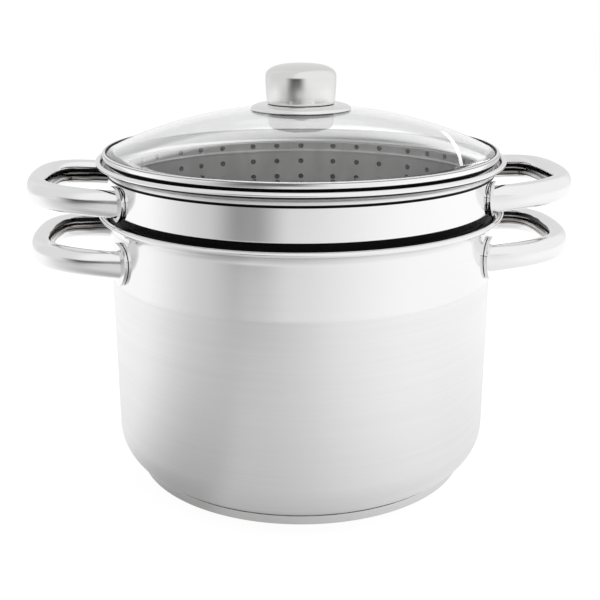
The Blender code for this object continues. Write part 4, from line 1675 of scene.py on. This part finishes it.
@dataclass(frozen=True)
class Tent:
    """Tones of the pale tent and table that the steel mirrors.

    Headings are in degrees from the side of the photograph, positive to the right, and
    distances are from the pot's axis. A pair gives where a share is 0 and where it is 1.
    """

    left_front: Span = (-12.0, -42.0)
    left_rear: Span = (-150.0, -110.0)
    left_shade: float = 0.19
    back: Span = (120.0, 155.0)
    back_shade: float = 0.20
    gap_heading: float = -20.0
    gap_width: Span = (38.0, 8.0)
    gap_height: Span = (0.16, 0.05)
    gap_shade: float = 0.95
    gap_distance: Span = (1.0, 1.3)
    gap_table_shade: float = 0.97
    dull_left: Span = (-102.0, -49.0)
    dull_edge: Span = (-27.0, -41.0)
    dull_edge_share: float = 0.28
    dull_fade: Span = (57.0, -27.0)
    dull_shade: float = 0.46
    near: Span = (0.45, 0.13)
    near_shade: float = 0.14
    patch_heading: float = -32.0
    patch_width: Span = (24.0, 3.0)
    patch_near: Span = (0.40, 0.50)
    patch_near_shade: float = 0.25
    patch_far: Span = (0.70, 0.80)
    patch_far_shade: float = 0.42
    table_end: Span = (0.95, 1.9)

    def heading(self, x: Wire, y: Wire) -> Wire:
        """Heading of a place or of a direction."""
        return x.maths("ARCTAN2", 0.0 - y) * math.degrees(1.0)

    def gap(self, heading: Wire) -> Wire:
        """Share of the dark gap in front."""
        return (heading - self.gap_heading).maths("ABSOLUTE").ease(*self.gap_width)

    def wall(self, heading: Wire) -> Wire:
        """Tone of the tent's walls: duller on the left and behind."""
        left = heading.ease(*self.left_front) * heading.ease(*self.left_rear)
        back = heading.maths("ABSOLUTE").ease(*self.back)
        return 1.0 - self.left_shade * left - self.back_shade * back

    def table(self, graph: Graph) -> Wire:
        """Tone of the table: darker on the left in front, close to the pot and in the gap."""
        x, y, _ = graph.parts(graph.place())
        heading, out = self.heading(x, y), x.hypot(y)
        near, away = out.ease(*self.near), out.ease(*self.table_end)
        right = (self.dull_edge_share * heading.ease(*self.dull_edge)
                 + (1 - self.dull_edge_share) * heading.ease(*self.dull_fade))
        dull = (self.dull_shade + self.near_shade * near) * heading.ease(*self.dull_left) * right
        steps = (self.patch_near_shade * out.ease(*self.patch_near)
                 + self.patch_far_shade * out.ease(*self.patch_far))
        patch = steps * (heading - self.patch_heading).maths("ABSOLUTE").ease(*self.patch_width)
        gap = out.ease(*self.gap_distance) * self.gap(heading)
        tone = (1.0 - dull) * (1.0 - patch) * (1.0 - self.near_shade * near)
        return ((tone * (1.0 - away) + self.wall(heading) * away)
                * (1.0 - self.gap_table_shade * gap))


@dataclass(frozen=True)
class Ceiling:
    """Overhead light with a bowed strip and a narrow streak, for the glass's sharp gloss alone.

    Heights are those of a direction of length 1. The streak lies along a plane through the pot.
    """

    bow: float = 1.3
    dark: float = 0.04
    soft: float = 1.12
    soft_edge: Span = (0.63, 0.56)
    strip: float = 1.5
    strip_low: Span = (0.43, 0.50)
    strip_high: Span = (0.63, 0.58)
    streak: float = 4.5
    streak_plane: tuple[float, float, float, float] = (0.879, -0.161, -0.449, -0.040)
    streak_edge: Span = (0.0058, 0.0030)
    streak_low: Span = (0.13, 0.19)
    streak_high: Span = (0.72, 0.60)
    streak_back: Span = (0.2, 0.4)

    def tone(self, x: Wire, y: Wire, z: Wire) -> Wire:
        """Tone in a direction, given by its three numbers."""
        across, back, up, offset = self.streak_plane
        side = (across * x + back * y + up * z + offset).maths("ABSOLUTE")
        streak = (side.ease(*self.streak_edge) * z.ease(*self.streak_low)
                  * z.ease(*self.streak_high) * y.ease(*self.streak_back))
        height = z + self.bow * x * x
        strip = height.ease(*self.strip_low) * height.ease(*self.strip_high)
        return (self.dark + self.soft * height.ease(*self.soft_edge) + self.strip * strip
                + self.streak * streak)


@dataclass(frozen=True)
class Lamp:
    """Soft lamp that lights the pot without being seen or mirrored."""

    name: str
    place: Place
    width: float
    height: float
    power: float
    aim: Place = (0.0, 0.0, 0.1)

    def hang(self) -> None:
        """Hang the lamp, facing the pot."""
        lay_down()
        way = (Vector(self.aim) - Vector(self.place)).to_track_quat("-Z", "Y")
        bpy.ops.object.light_add(type="AREA", location=self.place, rotation=way.to_euler())
        lamp = bpy.context.object
        lamp.name = self.name
        lamp.data.shape = "RECTANGLE"
        lamp.data.size, lamp.data.size_y, lamp.data.energy = self.width, self.height, self.power
        lamp.visible_camera = lamp.visible_glossy = lamp.visible_transmission = False


@dataclass
class Studio:
    """Pale table and tent with a dark gap in front, soft lamps and the photograph's camera."""

    focal: float = 60.3
    sensor: float = 36.0
    distance: float = 628.6 * MM
    eye_height: float = 301.4 * MM
    pitch: float = math.radians(17.385)
    azimuth: float = math.radians(-4.0)
    shift: float = -0.0015
    nearest: float = 10.0 * MM
    floor_half: float = 6.0
    floor_drop: float = 0.1 * MM
    floor_colour: Colour = (0.82, 0.82, 0.82)
    glow_share: float = 0.82
    seen_glow: float = 1.09
    mirrored_glow: float = 1.08
    sky_light: float = 0.7
    tent: Tent = Tent()
    ceiling: Ceiling = Ceiling()
    lamps: tuple[Lamp, ...] = (Lamp("overhead_softbox", (0.1, 0.5, 1.5), 1.2, 1.0, 12.0),
                               Lamp("left_softbox", (-1.3, 0.2, 0.8), 0.8, 1.2, 7.0),
                               Lamp("right_softbox", (1.3, 0.0, 0.8), 0.8, 1.2, 8.0))

    def camera(self) -> None:
        """Place the camera."""
        lay_down()
        place = (self.distance * math.sin(self.azimuth), -self.distance * math.cos(self.azimuth),
                 self.eye_height)
        bpy.ops.object.camera_add(location=place,
                                  rotation=(math.pi / 2 - self.pitch, 0.0, self.azimuth))
        camera = bpy.context.object
        camera.data.lens = self.focal
        camera.data.sensor_width = self.sensor
        camera.data.shift_x = self.shift
        camera.data.clip_start = self.nearest
        bpy.context.scene.camera = camera

    def seen(self, graph: Graph, rays: bpy.types.Node) -> Wire:
        """Return 1 for what the camera sees, straight or through the glass, and otherwise 0."""
        straight = graph.out(rays, "Is Camera Ray") + graph.out(rays, "Is Transmission Ray")
        return straight * graph.out(rays, "Glossy Depth").maths("LESS_THAN", 0.5)

    def floor(self) -> None:
        """Lay the pale floor, white to the camera except where the shadow lies."""
        lay_down()
        bpy.ops.mesh.primitive_grid_add(x_subdivisions=2, y_subdivisions=2,
                                        size=2 * self.floor_half,
                                        location=(0.0, 0.0, -self.floor_drop))
        floor = bpy.context.object
        floor.name = "studio_floor"
        bpy.ops.object.transform_apply(location=True)
        material = bpy.data.materials.new("studio_floor")
        material.use_nodes = True
        graph = Graph(material.node_tree)
        rays = graph.node("ShaderNodeLightPath")
        seen = self.seen(graph, rays)
        mirrored = graph.out(rays, "Glossy Depth").maths("GREATER_THAN", 0.5)
        strength = (self.seen_glow * seen
                    + (1.0 - seen) * self.mirrored_glow * self.tent.table(graph))
        board = graph.node("ShaderNodeBsdfDiffuse", None, {"Color": (*self.floor_colour, 1.0)})
        glow = graph.node("ShaderNodeEmission", None, {"Strength": strength})
        share = self.glow_share * (seen + (1.0 - seen) * mirrored)
        blend = graph.node("ShaderNodeMixShader", None,
                           {0: share, 1: graph.out(board), 2: graph.out(glow)})
        graph.node("ShaderNodeOutputMaterial", None, {"Surface": graph.out(blend)})
        dress(floor, material)

    def world(self) -> None:
        """Paint the surroundings: white to the camera, the tent in the steel.

        The glass's sharp gloss mirrors the ceiling in place of the tent.
        """
        world = bpy.data.worlds.new("studio")
        world.use_nodes = True
        bpy.context.scene.world = world
        graph = Graph(world.node_tree)
        x, y, z = graph.parts(graph.out(graph.node("ShaderNodeTexCoord"), "Generated"))
        heading = self.tent.heading(x, y)
        gap = self.tent.gap(heading) * z.ease(*self.tent.gap_height)
        tent = (1.0 - self.tent.gap_shade * gap) * self.tent.wall(heading)
        rays = graph.node("ShaderNodeLightPath")
        sharp = graph.out(rays, "Is Singular Ray") * graph.out(rays, "Is Reflection Ray")
        tone = tent * (1.0 - sharp) + self.ceiling.tone(x, y, z) * sharp
        diffuse, seen = graph.out(rays, "Is Diffuse Ray"), self.seen(graph, rays)
        strength = (1.0 - seen) * (tone * (1.0 - diffuse) + self.sky_light * diffuse) + seen
        back = graph.node("ShaderNodeBackground", None,
                          {"Color": (1.0, 1.0, 1.0, 1.0), "Strength": strength})
        graph.node("ShaderNodeOutputWorld", None, {"Surface": graph.out(back)})

    def build(self) -> None:
        """Set up the whole studio."""
        self.camera()
        self.floor()
        self.world()
        for lamp in self.lamps:
            lamp.hang()
        bpy.context.scene.view_settings.view_transform = "Standard"


def make_finishes() -> dict[str, bpy.types.Material]:
    """Make every finish once."""
    return {
        "wall": PotWallSteel("steel_pot_wall").make(),
        "collar": CollarSteel("steel_collar").make(),
        "ring": RingSteel("steel_ring").make(),
        "basket": StrainerSteel("steel_strainer").make(),
        "satin": BrushedSteel("steel_satin", (0.82, 0.815, 0.81), 0.28).make(),
        "knob": BrushedSteel("steel_knob", (0.81, 0.805, 0.80), 0.16, spread=0.03, contrast=0.06,
                             anisotropy=0.2, groove=0.001 * MM).make(),
        "saucer": BrushedSteel("steel_saucer", (0.84, 0.84, 0.84), 0.15, spread=0.03,
                               contrast=0.04, anisotropy=0.3, groove=0.001 * MM).make(),
        # The handles' bands and wash are painted dark reflections on their inner sides.
        "pot_handle": HandleSteel(
            "steel_pot_handle", bands=((0.60, 0.15), (0.27, 0.09), (-0.10, 0.045)),
            wash=(-0.30, 0.75)).make(),
        "insert_handle": HandleSteel(
            "steel_insert_handle", bands=((0.22, 0.16), (-0.16, 0.12), (-0.58, 0.06)),
            wash=(-0.62, 0.36)).make(),
        "washer": BrushedSteel("steel_washer", (0.30, 0.30, 0.30), 0.3).make(),
        "mirror": MirrorSteel("steel_mirror").make(),
        "aluminium": BrushedSteel("aluminium_core", (0.77, 0.775, 0.78), 0.38).make(),
        "glass": ClearGlass("glass_dome").make(),
        "silicone": Moulded("silicone_seal", (0.80, 0.80, 0.78), 0.5, subsurface=0.2).make(),
        "plastic": Moulded("plastic_plug", (0.03, 0.03, 0.03), 0.42).make(),
    }


def main() -> None:
    """Build the studio, the pot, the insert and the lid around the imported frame."""
    logging.basicConfig(level=logging.INFO, format="%(message)s")
    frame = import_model()
    finishes = make_finishes()
    Studio().build()
    PotBody().build(frame, finishes)
    StrainerInsert().build(finishes)
    GlassLid().build(finishes)
    lay_down()


if __name__ == "__main__":
    main()
